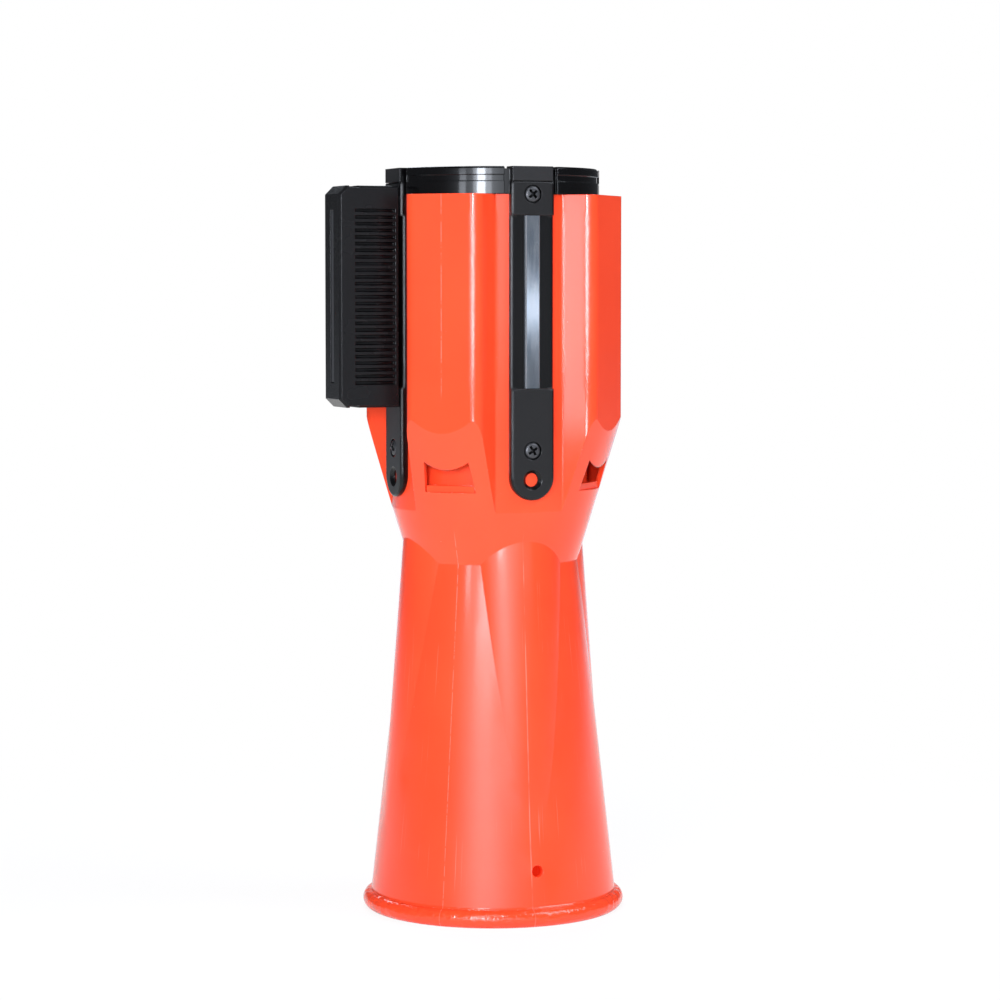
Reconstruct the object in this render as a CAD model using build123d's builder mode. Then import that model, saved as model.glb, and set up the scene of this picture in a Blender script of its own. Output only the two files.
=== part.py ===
from build123d import *
import os
from math import acos, cos, degrees, pi, radians, sin, sqrt, tan

os.makedirs("parts", exist_ok=True)

# Cone topper belt barrier: a lobed head on a skirt that drops over a traffic cone.
# The axis is Z, the base plane is Z = 0, and the belt leaves towards -X.
# Lengths are in millimetres and angles in degrees.

# Skirt
NECK_RADIUS = 39.8
NECK_HEIGHT = 163.9
SKIRT_TAPER = 6.44
WALL = 2.6
BEAD_PROUD = 3.0
BEAD_RADIUS = 4.2
BEAD_FLAT = 0.5
BULGE_RADIUS = 25.5
BULGE_PROUD = 2.91
BULGE_TILT = 4.5
BULGE_LENGTH = 150.0
BULGE_OVERLAP = 14.5
BULGE_SEAM = 10.0
LOCK_HOLE_RADIUS = 2.7
LOCK_HOLE_HEIGHT = 24.8

# Head
FLARE_ANGLE = 17.0
LOBE_DEPTH = 11.1
LOBE_WIDTH = 36.8
LOBE_DRAFT = 5.0
LOBE_CORNER = 4.7
LOBE_ROOT = 1.2
WINDOW_RISE = 33.5
WINDOW_HEIGHT = 18.6
WINDOW_WIDTH = 25.1
WINDOW_TAPER = 5.9
WINDOW_PROUD = 3.1
BOSS_RADIUS = 4.2
BOSS_LENGTH = 8.4

# Belt and its spool
BELT_WIDTH = 75.0
BELT_THICKNESS = 0.55
BELT_LENGTH = 3000.0
BELT_END_ROOM = 1.8
DRUM_RADIUS = 16.0
DRUM_WALL = 2.2
FLANGE_LIP = 4.0
FLANGE_THICKNESS = 2.0
AXLE_RADIUS = 5.0
BUSH_WALL = 2.0
BUSH_LENGTH = 7.0
SPRING_THICKNESS = 0.35
SPRING_PITCH = 0.9
SPRING_TURNS = 8
SPRING_END = 9.5
RUNNING_FIT = 0.05
RUNNING_GAP = 0.3

# Cassette frame
PLATE_THICKNESS = 3.0
PLATE_GAP = 0.7
PILLAR_RADIUS = 3.0
PILLAR_GAP = 2.0
SEAT_THICKNESS = 3.0
POST_RADIUS = 4.0
POST_ANGLE = 22.5
CUP_RADIUS = 33.0
CUP_WALL = 2.5
CUP_DEPTH = 16.0
RIM_WALL = 2.4
GUIDE_LENGTH = 8.18
GUIDE_WIDTH = 14.0
GUIDE_SLOT = 2.4
GUIDE_FLARE = 4.0
AXLE_BOSS_RADIUS = 9.0
AXLE_BOSS_HEIGHT = 5.5
RING_RADIUS = 8.0
RING_THICKNESS = 1.2

# Receivers, outlet and cap
RECEIVER_WIDTH = 21.0
RECEIVER_THICKNESS = 2.4
RECEIVER_EDGE = 1.0
SEAT_GAP = 0.1
CHANNEL_DROP = 9.4
CHANNEL_DEPTH = 1.2
KEEPER_WIDTH = 7.0
KEEPER_EDGE = 0.5
SCREW_SEAT_DEPTH = 1.6
SCREW_SEAT_RADIUS = 4.2
LOWER_SCREW_RISE = 16.1
LOWER_SCREW_DROP = 28.0
BAR_END_DROP = 12.1
TIE_HOLE_DROP = 13.3
TIE_HOLE_RADIUS = 3.1
TIE_SINK_RADIUS = 4.6
OUTLET_SLOT = 3.6
CAP_HEIGHT = 12.5
CAP_OVERHANG = 1.9
CAP_SEAM_RISE = 5.9
CAP_GROOVE_HEIGHT = 2.8
CAP_GROOVE_DEPTH = 0.7
CAP_EDGE = 0.8
CAP_TOP_THICKNESS = 3.0
CAP_RECESS_RADIUS = 38.0
CAP_RECESS_DEPTH = 1.0
CAP_NOTCH_ROOM = 2.4
LUG_INSET = 0.7
SPIGOT_DEPTH = 4.0
SPIGOT_WALL = 3.0

# Screws
SCREW_RADIUS = 2.0
SCREW_LENGTH = 11.0
SCREW_HEAD_RADIUS = 3.6
SCREW_HEAD_HEIGHT = 2.0
SMALL_SCREW_RADIUS = 1.5
SMALL_SCREW_LENGTH = 10.0
SMALL_HEAD_RADIUS = 2.8
SMALL_HEAD_HEIGHT = 1.9
THREAD_ROOM = 0.05
HEAD_BEVEL_SHARE = 0.5
CROSS_REACH_SHARE = 0.55
CROSS_DEPTH_SHARE = 0.6
CROSS_WIDTH = 0.9

# Belt clip
CLIP_LENGTH = 29.2
CLIP_THICKNESS = 21.4
CLIP_MARGIN = 11.25
CLIP_RISE = 2.35
CLIP_CORNER = 3.8
CLIP_EDGE = 1.1
GRIP_PITCH = 3.02
GRIP_GROOVE = 1.7
GRIP_DEPTH = 1.5
GRIP_DRAFT = 15.0
GRIP_LENGTH = 19.4
GRIP_START = 2.2
MAGNET_WIDTH = 5.0
MAGNET_DEPTH = 4.0
MAGNET_SET_BACK = 0.5
NOTCH_LENGTH = 4.4
NOTCH_DEPTH = 1.0
NOTCH_START = 1.3
BELT_PIN_RADIUS = 2.0
BELT_PIN_BACK = 11.0

# Directions, as angles about Z from +X
RECEIVER_SIDES = {"front": -90, "right": 0, "rear": 90}
OUTLET_SIDE = 180
ALL_SIDES = [*RECEIVER_SIDES.values(), OUTLET_SIDE]
LOBE_SIDES = [45, 135, 225, 315]

# Levels and radii that follow from the sizes above
SKIRT_FOOT_RADIUS = NECK_RADIUS + NECK_HEIGHT * tan(radians(SKIRT_TAPER))
BEAD_REACH = SKIRT_FOOT_RADIUS + BEAD_PROUD
BULGE_CREST = NECK_RADIUS + BULGE_PROUD
ROLL_INNER = DRUM_RADIUS + RUNNING_GAP
ROLL_RADIUS = sqrt(ROLL_INNER**2 + BELT_LENGTH * BELT_THICKNESS / pi)
FLANGE_RADIUS = ROLL_RADIUS + FLANGE_LIP
GUIDE_INNER = FLANGE_RADIUS + FLANGE_LIP
BELT_TURN = GUIDE_INNER + GUIDE_FLARE / 2
SPIGOT_RADIUS = GUIDE_INNER + GUIDE_LENGTH
OPENING_RADIUS = SPIGOT_RADIUS + RUNNING_GAP
PAD_RADIUS = OPENING_RADIUS + WALL
LOBE_REACH = PAD_RADIUS + LOBE_DEPTH
SILL = NECK_HEIGHT + WINDOW_RISE
RECEIVER_FACE = PAD_RADIUS + RECEIVER_THICKNESS
CHANNEL_LENGTH = BELT_WIDTH + 2 * BELT_END_ROOM
LOWER_SCREW_HEIGHT = SILL + SEAT_THICKNESS + LOWER_SCREW_RISE
CHANNEL_BOTTOM = LOWER_SCREW_HEIGHT + LOWER_SCREW_DROP
CHANNEL_TOP = CHANNEL_BOTTOM + CHANNEL_LENGTH
HEAD_TOP = CHANNEL_TOP + CHANNEL_DROP
CHANNEL_MIDDLE = (CHANNEL_TOP + CHANNEL_BOTTOM) / 2
BELT_BOTTOM = CHANNEL_MIDDLE - BELT_WIDTH / 2
BAR_END_HEIGHT = LOWER_SCREW_HEIGHT - BAR_END_DROP
TIE_HOLE_HEIGHT = LOWER_SCREW_HEIGHT - TIE_HOLE_DROP
CAP_SCREW_HEIGHT = HEAD_TOP
CAP_RADIUS = PAD_RADIUS + CAP_OVERHANG
CAP_SEAM = HEAD_TOP + CAP_SEAM_RISE
CAP_TOP = HEAD_TOP + CAP_HEIGHT
SPOOL_BOTTOM = BELT_BOTTOM - RUNNING_GAP - FLANGE_THICKNESS
SPOOL_TOP = BELT_BOTTOM + BELT_WIDTH + RUNNING_GAP + FLANGE_THICKNESS
PLATE_RADIUS = OPENING_RADIUS - PLATE_GAP
TOP_PLATE_BOTTOM = SPOOL_TOP + PLATE_GAP
TOP_PLATE_TOP = TOP_PLATE_BOTTOM + PLATE_THICKNESS
AXLE_BOSS_TOP = SPOOL_BOTTOM - RUNNING_GAP
BASE_PLATE_TOP = AXLE_BOSS_TOP - AXLE_BOSS_HEIGHT
BASE_PLATE_BOTTOM = BASE_PLATE_TOP - PLATE_THICKNESS
PILLAR_REACH = FLANGE_RADIUS + PILLAR_GAP + PILLAR_RADIUS
BUSH_RADIUS = AXLE_RADIUS + RUNNING_FIT + BUSH_WALL
CLIP_INNER = RECEIVER_FACE + RUNNING_GAP
CLIP_OUTER = CLIP_INNER + CLIP_LENGTH
CLIP_MIDDLE = CHANNEL_MIDDLE + CLIP_RISE
CLIP_HEIGHT = CHANNEL_LENGTH + 2 * CLIP_MARGIN
CLIP_BOTTOM = CLIP_MIDDLE - CLIP_HEIGHT / 2
CLIP_TOP = CLIP_MIDDLE + CLIP_HEIGHT / 2
BELT_PIN_REACH = CLIP_OUTER - BELT_PIN_BACK
LOOP_RADIUS = BELT_PIN_RADIUS + RUNNING_GAP + BELT_THICKNESS
GRIP_COUNT = int(CHANNEL_LENGTH / GRIP_PITCH) + 1
SPRING_WIDTH = BELT_WIDTH - 2 * SPRING_END


def side_plane(angle, reach, height=0.0):
    """Plane whose Z points outwards at an angle about the axis, and whose Y points up."""
    outward = Vector(cos(radians(angle)), sin(radians(angle)), 0)
    along = Vector(-sin(radians(angle)), cos(radians(angle)), 0)
    return Plane(origin=outward * reach + Vector(0, 0, height), x_dir=along, z_dir=outward)


def upright_plane(angle):
    """Plane through the axis, whose X points outwards at an angle and whose Y points up."""
    turn = radians(angle)
    return Plane((0, 0, 0), x_dir=(cos(turn), sin(turn), 0), z_dir=(sin(turn), -cos(turn), 0))


def flare_radius(height):
    """Outer radius of the flared cone under the head."""
    return NECK_RADIUS + (height - NECK_HEIGHT) * tan(radians(FLARE_ANGLE))


def housing_form(inset, top):
    """The housing's skin drawn in by inset, as one solid from the base plane up to top."""
    lobe_root = LOBE_WIDTH / 2 + LOBE_REACH * tan(radians(LOBE_DRAFT)) - inset
    lobe_front = LOBE_WIDTH / 2 - inset
    with BuildPart() as form:
        with BuildSketch(Plane.XY.offset(NECK_HEIGHT)) as outline:
            Circle(PAD_RADIUS - inset)
            with PolarLocations(0, len(LOBE_SIDES), start_angle=LOBE_SIDES[0]):
                Polygon(
                    (0, -lobe_root),
                    (LOBE_REACH - inset, -lobe_front),
                    (LOBE_REACH - inset, lobe_front),
                    (0, lobe_root),
                    align=None,
                )
            corners = outline.vertices().sort_by_distance((0, 0, NECK_HEIGHT))
            fillet(corners[: 2 * len(LOBE_SIDES)], LOBE_ROOT + inset)
            corners = outline.vertices().sort_by_distance((0, 0, NECK_HEIGHT))
            fillet(corners[-2 * len(LOBE_SIDES) :], LOBE_CORNER - inset)
        extrude(amount=top - NECK_HEIGHT)
        with BuildSketch(upright_plane(LOBE_SIDES[0])):
            Polygon(
                (0, NECK_HEIGHT),
                (NECK_RADIUS - inset, NECK_HEIGHT),
                (flare_radius(top) - inset, top),
                (0, top),
                align=None,
            )
        revolve(axis=Axis.Z, mode=Mode.INTERSECT)
        with BuildSketch(upright_plane(LOBE_SIDES[0])):
            Polygon(
                (0, 0),
                (SKIRT_FOOT_RADIUS - inset, 0),
                (NECK_RADIUS - inset, NECK_HEIGHT),
                (0, NECK_HEIGHT),
                align=None,
            )
        revolve(axis=Axis.Z)
        with Locations((0, 0, NECK_HEIGHT + BULGE_OVERLAP)):
            with PolarLocations(BULGE_CREST - BULGE_RADIUS, len(ALL_SIDES)):
                Cylinder(
                    BULGE_RADIUS - inset,
                    BULGE_LENGTH,
                    rotation=(0, -BULGE_TILT, BULGE_SEAM),
                    align=(Align.CENTER, Align.CENTER, Align.MAX),
                )
    return form.part


def pan_screw(radius, length, head_radius, head_height):
    """Cross-recessed pan-head screw that hangs below the XY plane, with its head above it."""
    with BuildPart() as screw:
        Cylinder(head_radius, head_height, align=(Align.CENTER, Align.CENTER, Align.MIN))
        chamfer(screw.edges().sort_by(Axis.Z)[-1], head_height * HEAD_BEVEL_SHARE)
        Cylinder(radius, length, align=(Align.CENTER, Align.CENTER, Align.MAX))
        with Locations((0, 0, head_height)):
            for turn in (0, 90):
                Box(
                    2 * head_radius * CROSS_REACH_SHARE,
                    CROSS_WIDTH,
                    2 * head_height * CROSS_DEPTH_SHARE,
                    rotation=(0, 0, turn),
                    mode=Mode.SUBTRACT,
                )
    return screw.part


# Housing: one moulding, hollow from the skirt's mouth up to the head's round opening
housing_skin = housing_form(0, HEAD_TOP)
housing_hollow = housing_form(WALL, HEAD_TOP - WALL)

with BuildPart() as housing:
    add(housing_skin)
    bead_middle = BEAD_RADIUS - BEAD_FLAT
    with BuildSketch(Plane.XZ):
        with Locations((BEAD_REACH - BEAD_RADIUS, bead_middle)):
            Circle(BEAD_RADIUS)
        with Locations((BEAD_REACH, 0)):
            Rectangle(4 * BEAD_RADIUS, BEAD_RADIUS, align=(Align.CENTER, Align.MAX), mode=Mode.SUBTRACT)
    revolve(axis=Axis.Z)
    add(housing_hollow, mode=Mode.SUBTRACT)
    with Locations((0, 0, HEAD_TOP)):
        Cylinder(
            OPENING_RADIUS,
            2 * WALL,
            align=(Align.CENTER, Align.CENTER, Align.MAX),
            mode=Mode.SUBTRACT,
        )
    # Bosses behind the pads take the lower receiver screws
    with Locations([side_plane(side, OPENING_RADIUS + WALL / 2, LOWER_SCREW_HEIGHT) for side in ALL_SIDES]):
        Cylinder(BOSS_RADIUS, BOSS_LENGTH + WALL / 2, align=(Align.CENTER, Align.CENTER, Align.MAX))
    with Locations([side_plane(side, PAD_RADIUS + WALL, LOWER_SCREW_HEIGHT) for side in ALL_SIDES]):
        Cylinder(
            SCREW_RADIUS + THREAD_ROOM,
            BOSS_LENGTH + 4 * WALL,
            align=(Align.CENTER, Align.CENTER, Align.MAX),
            mode=Mode.SUBTRACT,
        )
    # Half-round notches in the rim let the cap screws pass
    with Locations([side_plane(side, PAD_RADIUS + WALL, CAP_SCREW_HEIGHT) for side in ALL_SIDES]):
        Cylinder(
            SCREW_RADIUS + RUNNING_GAP,
            4 * WALL,
            align=(Align.CENTER, Align.CENTER, Align.MAX),
            mode=Mode.SUBTRACT,
        )
    # Window in the flare under each lobe: its upright outer wall breaks out through the cone
    for side in LOBE_SIDES:
        with BuildSketch(side_plane(side, flare_radius(SILL) + WINDOW_PROUD)):
            with Locations((0, SILL)):
                Trapezoid(WINDOW_WIDTH, WINDOW_HEIGHT, 90 - WINDOW_TAPER, align=(Align.CENTER, Align.MIN))
        extrude(amount=-WINDOW_PROUD - 2 * WALL, mode=Mode.SUBTRACT)
    # Belt mouth through the outlet pad, and the lock hole under the front receiver
    with Locations(side_plane(OUTLET_SIDE, PAD_RADIUS + WALL, CHANNEL_MIDDLE)):
        Box(
            OUTLET_SLOT + 2 * RUNNING_GAP,
            CHANNEL_LENGTH,
            4 * WALL,
            align=(Align.CENTER, Align.CENTER, Align.MAX),
            mode=Mode.SUBTRACT,
        )
    with Locations(side_plane(RECEIVER_SIDES["front"], BEAD_REACH, LOCK_HOLE_HEIGHT)):
        Cylinder(
            LOCK_HOLE_RADIUS,
            BEAD_REACH / 2,
            align=(Align.CENTER, Align.CENTER, Align.MAX),
            mode=Mode.SUBTRACT,
        )
housing.part.label = "housing"
export_step(housing.part, "parts/housing.step")

# Cone seat: the floor of the head, with a rim behind the windows, feet on their sills
# and a cup under it for the cone's tip
foot_reach = sqrt((flare_radius(SILL) - RUNNING_GAP) ** 2 - (WINDOW_WIDTH / 2 - RUNNING_GAP) ** 2)
foot_width = WINDOW_WIDTH - 2 * (SEAT_THICKNESS * tan(radians(WINDOW_TAPER)) + RUNNING_GAP)
rim_top = LOWER_SCREW_HEIGHT - BOSS_RADIUS - RUNNING_GAP
post_reach = PILLAR_REACH - POST_RADIUS + PILLAR_RADIUS
seat_radius = min(OPENING_RADIUS, flare_radius(SILL) - WALL) - RUNNING_GAP
with BuildPart() as cone_seat:
    with Locations((0, 0, SILL)):
        Cylinder(seat_radius, SEAT_THICKNESS, align=(Align.CENTER, Align.CENTER, Align.MIN))
    with BuildSketch(Plane.XY.offset(SILL)):
        Circle(CUP_RADIUS)
        Circle(CUP_RADIUS - CUP_WALL, mode=Mode.SUBTRACT)
    extrude(amount=-CUP_DEPTH)
    with BuildSketch(Plane.XY.offset(SILL)):
        Circle(seat_radius)
        Circle(seat_radius - RIM_WALL, mode=Mode.SUBTRACT)
    extrude(amount=rim_top - SILL)
    for side in LOBE_SIDES:
        with Locations(side_plane(side, foot_reach, SILL)):
            Box(foot_width, SEAT_THICKNESS, foot_reach / 2, align=(Align.CENTER, Align.MIN, Align.MAX))
    with BuildSketch(Plane.XY.offset(SILL + SEAT_THICKNESS)):
        with PolarLocations(post_reach, len(ALL_SIDES), start_angle=POST_ANGLE):
            Circle(POST_RADIUS)
    extrude(amount=BASE_PLATE_BOTTOM - SILL - SEAT_THICKNESS)
    with Locations((0, 0, BASE_PLATE_BOTTOM)):
        with PolarLocations(post_reach, len(ALL_SIDES), start_angle=POST_ANGLE):
            Cylinder(
                SMALL_SCREW_RADIUS + THREAD_ROOM,
                SMALL_SCREW_LENGTH,
                align=(Align.CENTER, Align.CENTER, Align.MAX),
                mode=Mode.SUBTRACT,
            )
cone_seat.part.label = "cone_seat"
export_step(cone_seat.part, "parts/cone_seat.step")

# Top cap: a shallow lid with a spigot in the head's opening, notched for the receivers
cap_notch = RECEIVER_WIDTH + 2 * CAP_NOTCH_ROOM
cap_ceiling = CAP_TOP - CAP_RECESS_DEPTH - CAP_TOP_THICKNESS
with BuildPart() as top_cap:
    with BuildSketch(Plane.XZ):
        Polygon(
            (0, HEAD_TOP),
            (CAP_RADIUS, HEAD_TOP),
            (CAP_RADIUS, CAP_SEAM),
            (CAP_RADIUS - CAP_GROOVE_DEPTH, CAP_SEAM),
            (CAP_RADIUS - CAP_GROOVE_DEPTH, CAP_SEAM + CAP_GROOVE_HEIGHT),
            (CAP_RADIUS, CAP_SEAM + CAP_GROOVE_HEIGHT),
            (CAP_RADIUS, CAP_TOP - CAP_EDGE),
            (CAP_RADIUS - CAP_EDGE, CAP_TOP),
            (CAP_RECESS_RADIUS, CAP_TOP),
            (CAP_RECESS_RADIUS - CAP_RECESS_DEPTH, CAP_TOP - CAP_RECESS_DEPTH),
            (0, CAP_TOP - CAP_RECESS_DEPTH),
            align=None,
        )
    revolve(axis=Axis.Z)
    for side in ALL_SIDES:
        with Locations(side_plane(side, CAP_RADIUS + WALL, HEAD_TOP)):
            Box(
                cap_notch,
                CAP_HEIGHT,
                CAP_RADIUS / 2,
                align=(Align.CENTER, Align.MIN, Align.MAX),
                mode=Mode.SUBTRACT,
            )
    with Locations((0, 0, HEAD_TOP)):
        Cylinder(
            PAD_RADIUS - SEAT_GAP,
            CAP_HEIGHT - CAP_RECESS_DEPTH,
            align=(Align.CENTER, Align.CENTER, Align.MIN),
        )
        Cylinder(SPIGOT_RADIUS, SPIGOT_DEPTH, align=(Align.CENTER, Align.CENTER, Align.MAX))
    # Lugs close the notches over the receivers' top ends
    for side in ALL_SIDES:
        with Locations(side_plane(side, RECEIVER_FACE, CAP_SEAM + SEAT_GAP)):
            Box(
                RECEIVER_WIDTH - 2 * LUG_INSET,
                CAP_TOP - CAP_SEAM - SEAT_GAP,
                RECEIVER_THICKNESS + 2 * WALL,
                align=(Align.CENTER, Align.MIN, Align.MAX),
            )
    with Locations((0, 0, cap_ceiling)):
        Cylinder(
            SPIGOT_RADIUS - SPIGOT_WALL,
            CAP_HEIGHT + SPIGOT_DEPTH,
            align=(Align.CENTER, Align.CENTER, Align.MAX),
            mode=Mode.SUBTRACT,
        )
    # Blocks inside the spigot hold the cap screws
    for side in ALL_SIDES:
        with Locations(side_plane(side, SPIGOT_RADIUS - SPIGOT_WALL / 2, HEAD_TOP - SPIGOT_DEPTH)):
            Box(
                2 * BOSS_RADIUS,
                cap_ceiling - HEAD_TOP + SPIGOT_DEPTH + CAP_RECESS_DEPTH,
                BOSS_LENGTH,
                align=(Align.CENTER, Align.MIN, Align.MAX),
            )
        with Locations(side_plane(side, CAP_RADIUS + WALL, CAP_SCREW_HEIGHT)):
            Cylinder(
                SCREW_RADIUS + THREAD_ROOM,
                CAP_RADIUS / 2,
                align=(Align.CENTER, Align.CENTER, Align.MAX),
                mode=Mode.SUBTRACT,
            )
top_cap.part.label = "top_cap"
export_step(top_cap.part, "parts/top_cap.step")


def receiver_bar(side):
    """Bar on a pad of the head, round at its foot, with a shallow channel over the belt's height."""
    face = side_plane(side, RECEIVER_FACE)
    with BuildPart() as bar:
        with BuildSketch(face):
            with Locations((0, BAR_END_HEIGHT)):
                Circle(RECEIVER_WIDTH / 2)
                Rectangle(RECEIVER_WIDTH, CAP_SEAM - BAR_END_HEIGHT, align=(Align.CENTER, Align.MIN))
        extrude(amount=-2 * RECEIVER_THICKNESS)
        outer_face = bar.faces().sort_by(Axis((0, 0, 0), face.z_dir))[-1]
        fillet(outer_face.edges(), RECEIVER_EDGE)
        Cylinder(PAD_RADIUS + SEAT_GAP, 2 * CAP_TOP, mode=Mode.SUBTRACT)
        with BuildSketch(face):
            with Locations((0, CHANNEL_MIDDLE)):
                Rectangle(2 * RECEIVER_WIDTH, CHANNEL_LENGTH)
        extrude(amount=-CHANNEL_DEPTH, mode=Mode.SUBTRACT)
        floor_face = bar.faces().filter_by(face).sort_by(Axis((0, 0, 0), face.z_dir))[0]
        fillet(floor_face.edges().filter_by(Axis.Z), RECEIVER_EDGE)
        screw_levels = (LOWER_SCREW_HEIGHT, CAP_SCREW_HEIGHT)
        with Locations([side_plane(side, RECEIVER_FACE, level) for level in screw_levels]):
            CounterBoreHole(
                radius=SCREW_RADIUS + RUNNING_GAP,
                counter_bore_radius=SCREW_SEAT_RADIUS,
                counter_bore_depth=SCREW_SEAT_DEPTH,
                depth=2 * RECEIVER_THICKNESS,
            )
        with Locations(side_plane(side, RECEIVER_FACE, TIE_HOLE_HEIGHT)):
            CounterSinkHole(
                radius=TIE_HOLE_RADIUS,
                counter_sink_radius=TIE_SINK_RADIUS,
                counter_sink_angle=90,
                depth=2 * RECEIVER_THICKNESS,
            )
    return bar.part


# Receivers, each with the steel strip that a magnetic belt end grips
for name, side in RECEIVER_SIDES.items():
    with BuildPart() as receiver:
        add(receiver_bar(side))
    receiver.part.label = f"receiver_{name}"
    export_step(receiver.part, f"parts/receiver_{name}.step")

    with BuildPart() as keeper:
        with BuildSketch(side_plane(side, RECEIVER_FACE - CHANNEL_DEPTH)):
            with Locations((0, CHANNEL_MIDDLE)):
                Rectangle(KEEPER_WIDTH, CHANNEL_LENGTH - 2 * RUNNING_GAP)
        extrude(amount=CHANNEL_DEPTH)
        outward = side_plane(side, RECEIVER_FACE).z_dir
        long_edges = keeper.faces().sort_by(Axis((0, 0, 0), outward))[-1].edges().filter_by(Axis.Z)
        chamfer(long_edges, KEEPER_EDGE)
    keeper.part.label = f"keeper_{name}"
    export_step(keeper.part, f"parts/keeper_{name}.step")

# Belt outlet: the same bar with a slot that the belt runs through
with BuildPart() as belt_outlet:
    add(receiver_bar(OUTLET_SIDE))
    with Locations(side_plane(OUTLET_SIDE, RECEIVER_FACE, CHANNEL_MIDDLE)):
        Box(
            OUTLET_SLOT,
            CHANNEL_LENGTH - 2 * RUNNING_GAP,
            2 * RECEIVER_FACE - 2 * PAD_RADIUS + 2 * WALL,
            mode=Mode.SUBTRACT,
        )
belt_outlet.part.label = "belt_outlet"
export_step(belt_outlet.part, "parts/belt_outlet.step")

# Screws through the receivers: the upper ones hold the cap, the lower ones the bars
receiver_screw = pan_screw(SCREW_RADIUS, SCREW_LENGTH, SCREW_HEAD_RADIUS, SCREW_HEAD_HEIGHT)
screw_seat = RECEIVER_FACE - SCREW_SEAT_DEPTH
for name, height in {"cap_screws": CAP_SCREW_HEIGHT, "receiver_screws": LOWER_SCREW_HEIGHT}.items():
    with BuildPart() as screws:
        with Locations([side_plane(side, screw_seat, height) for side in ALL_SIDES]):
            add(receiver_screw)
    screws.part.label = name
    export_step(screws.part, f"parts/{name}.step")

# Cassette base: a round plate on the seat's posts, with a boss for the fixed axle
with BuildPart() as cassette_base:
    with Locations((0, 0, BASE_PLATE_BOTTOM)):
        Cylinder(PLATE_RADIUS, PLATE_THICKNESS, align=(Align.CENTER, Align.CENTER, Align.MIN))
        Cylinder(
            AXLE_BOSS_RADIUS,
            AXLE_BOSS_TOP - BASE_PLATE_BOTTOM,
            align=(Align.CENTER, Align.CENTER, Align.MIN),
        )
        Cylinder(
            AXLE_RADIUS + RUNNING_FIT,
            CAP_TOP,
            mode=Mode.SUBTRACT,
        )
        with PolarLocations(post_reach, len(ALL_SIDES), start_angle=POST_ANGLE):
            Cylinder(SMALL_SCREW_RADIUS + RUNNING_GAP, 4 * PLATE_THICKNESS, mode=Mode.SUBTRACT)
cassette_base.part.label = "cassette_base"
export_step(cassette_base.part, "parts/cassette_base.step")

# Cassette top: the plate under the cap that steadies the axle's upper end
with BuildPart() as cassette_top:
    with Locations((0, 0, TOP_PLATE_BOTTOM)):
        Cylinder(PLATE_RADIUS, PLATE_THICKNESS, align=(Align.CENTER, Align.CENTER, Align.MIN))
        Cylinder(AXLE_RADIUS + RUNNING_FIT, 4 * PLATE_THICKNESS, mode=Mode.SUBTRACT)
        with PolarLocations(PILLAR_REACH, len(LOBE_SIDES), start_angle=LOBE_SIDES[0]):
            Cylinder(SMALL_SCREW_RADIUS + RUNNING_GAP, 4 * PLATE_THICKNESS, mode=Mode.SUBTRACT)
cassette_top.part.label = "cassette_top"
export_step(cassette_top.part, "parts/cassette_top.step")

# Pillars between the two plates
with BuildPart() as cassette_pillars:
    with Locations((0, 0, BASE_PLATE_TOP)):
        with PolarLocations(PILLAR_REACH, len(LOBE_SIDES), start_angle=LOBE_SIDES[0]):
            Cylinder(
                PILLAR_RADIUS,
                TOP_PLATE_BOTTOM - BASE_PLATE_TOP,
                align=(Align.CENTER, Align.CENTER, Align.MIN),
            )
    with Locations((0, 0, TOP_PLATE_BOTTOM)):
        with PolarLocations(PILLAR_REACH, len(LOBE_SIDES), start_angle=LOBE_SIDES[0]):
            Cylinder(
                SMALL_SCREW_RADIUS + THREAD_ROOM,
                SMALL_SCREW_LENGTH,
                align=(Align.CENTER, Align.CENTER, Align.MAX),
                mode=Mode.SUBTRACT,
            )
cassette_pillars.part.label = "cassette_pillars"
export_step(cassette_pillars.part, "parts/cassette_pillars.step")

# Small screws: the upper group holds the top plate to its pillars, the lower group the base to the seat
small_screw = pan_screw(SMALL_SCREW_RADIUS, SMALL_SCREW_LENGTH, SMALL_HEAD_RADIUS, SMALL_HEAD_HEIGHT)
with BuildPart() as pillar_screws:
    with Locations((0, 0, TOP_PLATE_TOP)):
        with PolarLocations(PILLAR_REACH, len(LOBE_SIDES), start_angle=LOBE_SIDES[0]):
            add(small_screw)
pillar_screws.part.label = "pillar_screws"
export_step(pillar_screws.part, "parts/pillar_screws.step")

with BuildPart() as base_screws:
    with Locations((0, 0, BASE_PLATE_TOP)):
        with PolarLocations(post_reach, len(ALL_SIDES), start_angle=POST_ANGLE):
            add(small_screw)
base_screws.part.label = "base_screws"
export_step(base_screws.part, "parts/base_screws.step")

# Axle: fixed between the plates, with a push-on ring above the top plate
with BuildPart() as axle:
    with Locations((0, 0, BASE_PLATE_BOTTOM)):
        Cylinder(
            AXLE_RADIUS,
            TOP_PLATE_TOP + 2 * RING_THICKNESS - BASE_PLATE_BOTTOM,
            align=(Align.CENTER, Align.CENTER, Align.MIN),
        )
    chamfer(axle.edges().filter_by(GeomType.CIRCLE), RING_THICKNESS / 2)
axle.part.label = "axle"
export_step(axle.part, "parts/axle.step")

with BuildPart() as axle_ring:
    with BuildSketch(Plane.XY.offset(TOP_PLATE_TOP)):
        Circle(RING_RADIUS)
        Circle(AXLE_RADIUS + RUNNING_FIT, mode=Mode.SUBTRACT)
    extrude(amount=RING_THICKNESS)
axle_ring.part.label = "axle_ring"
export_step(axle_ring.part, "parts/axle_ring.step")

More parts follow.
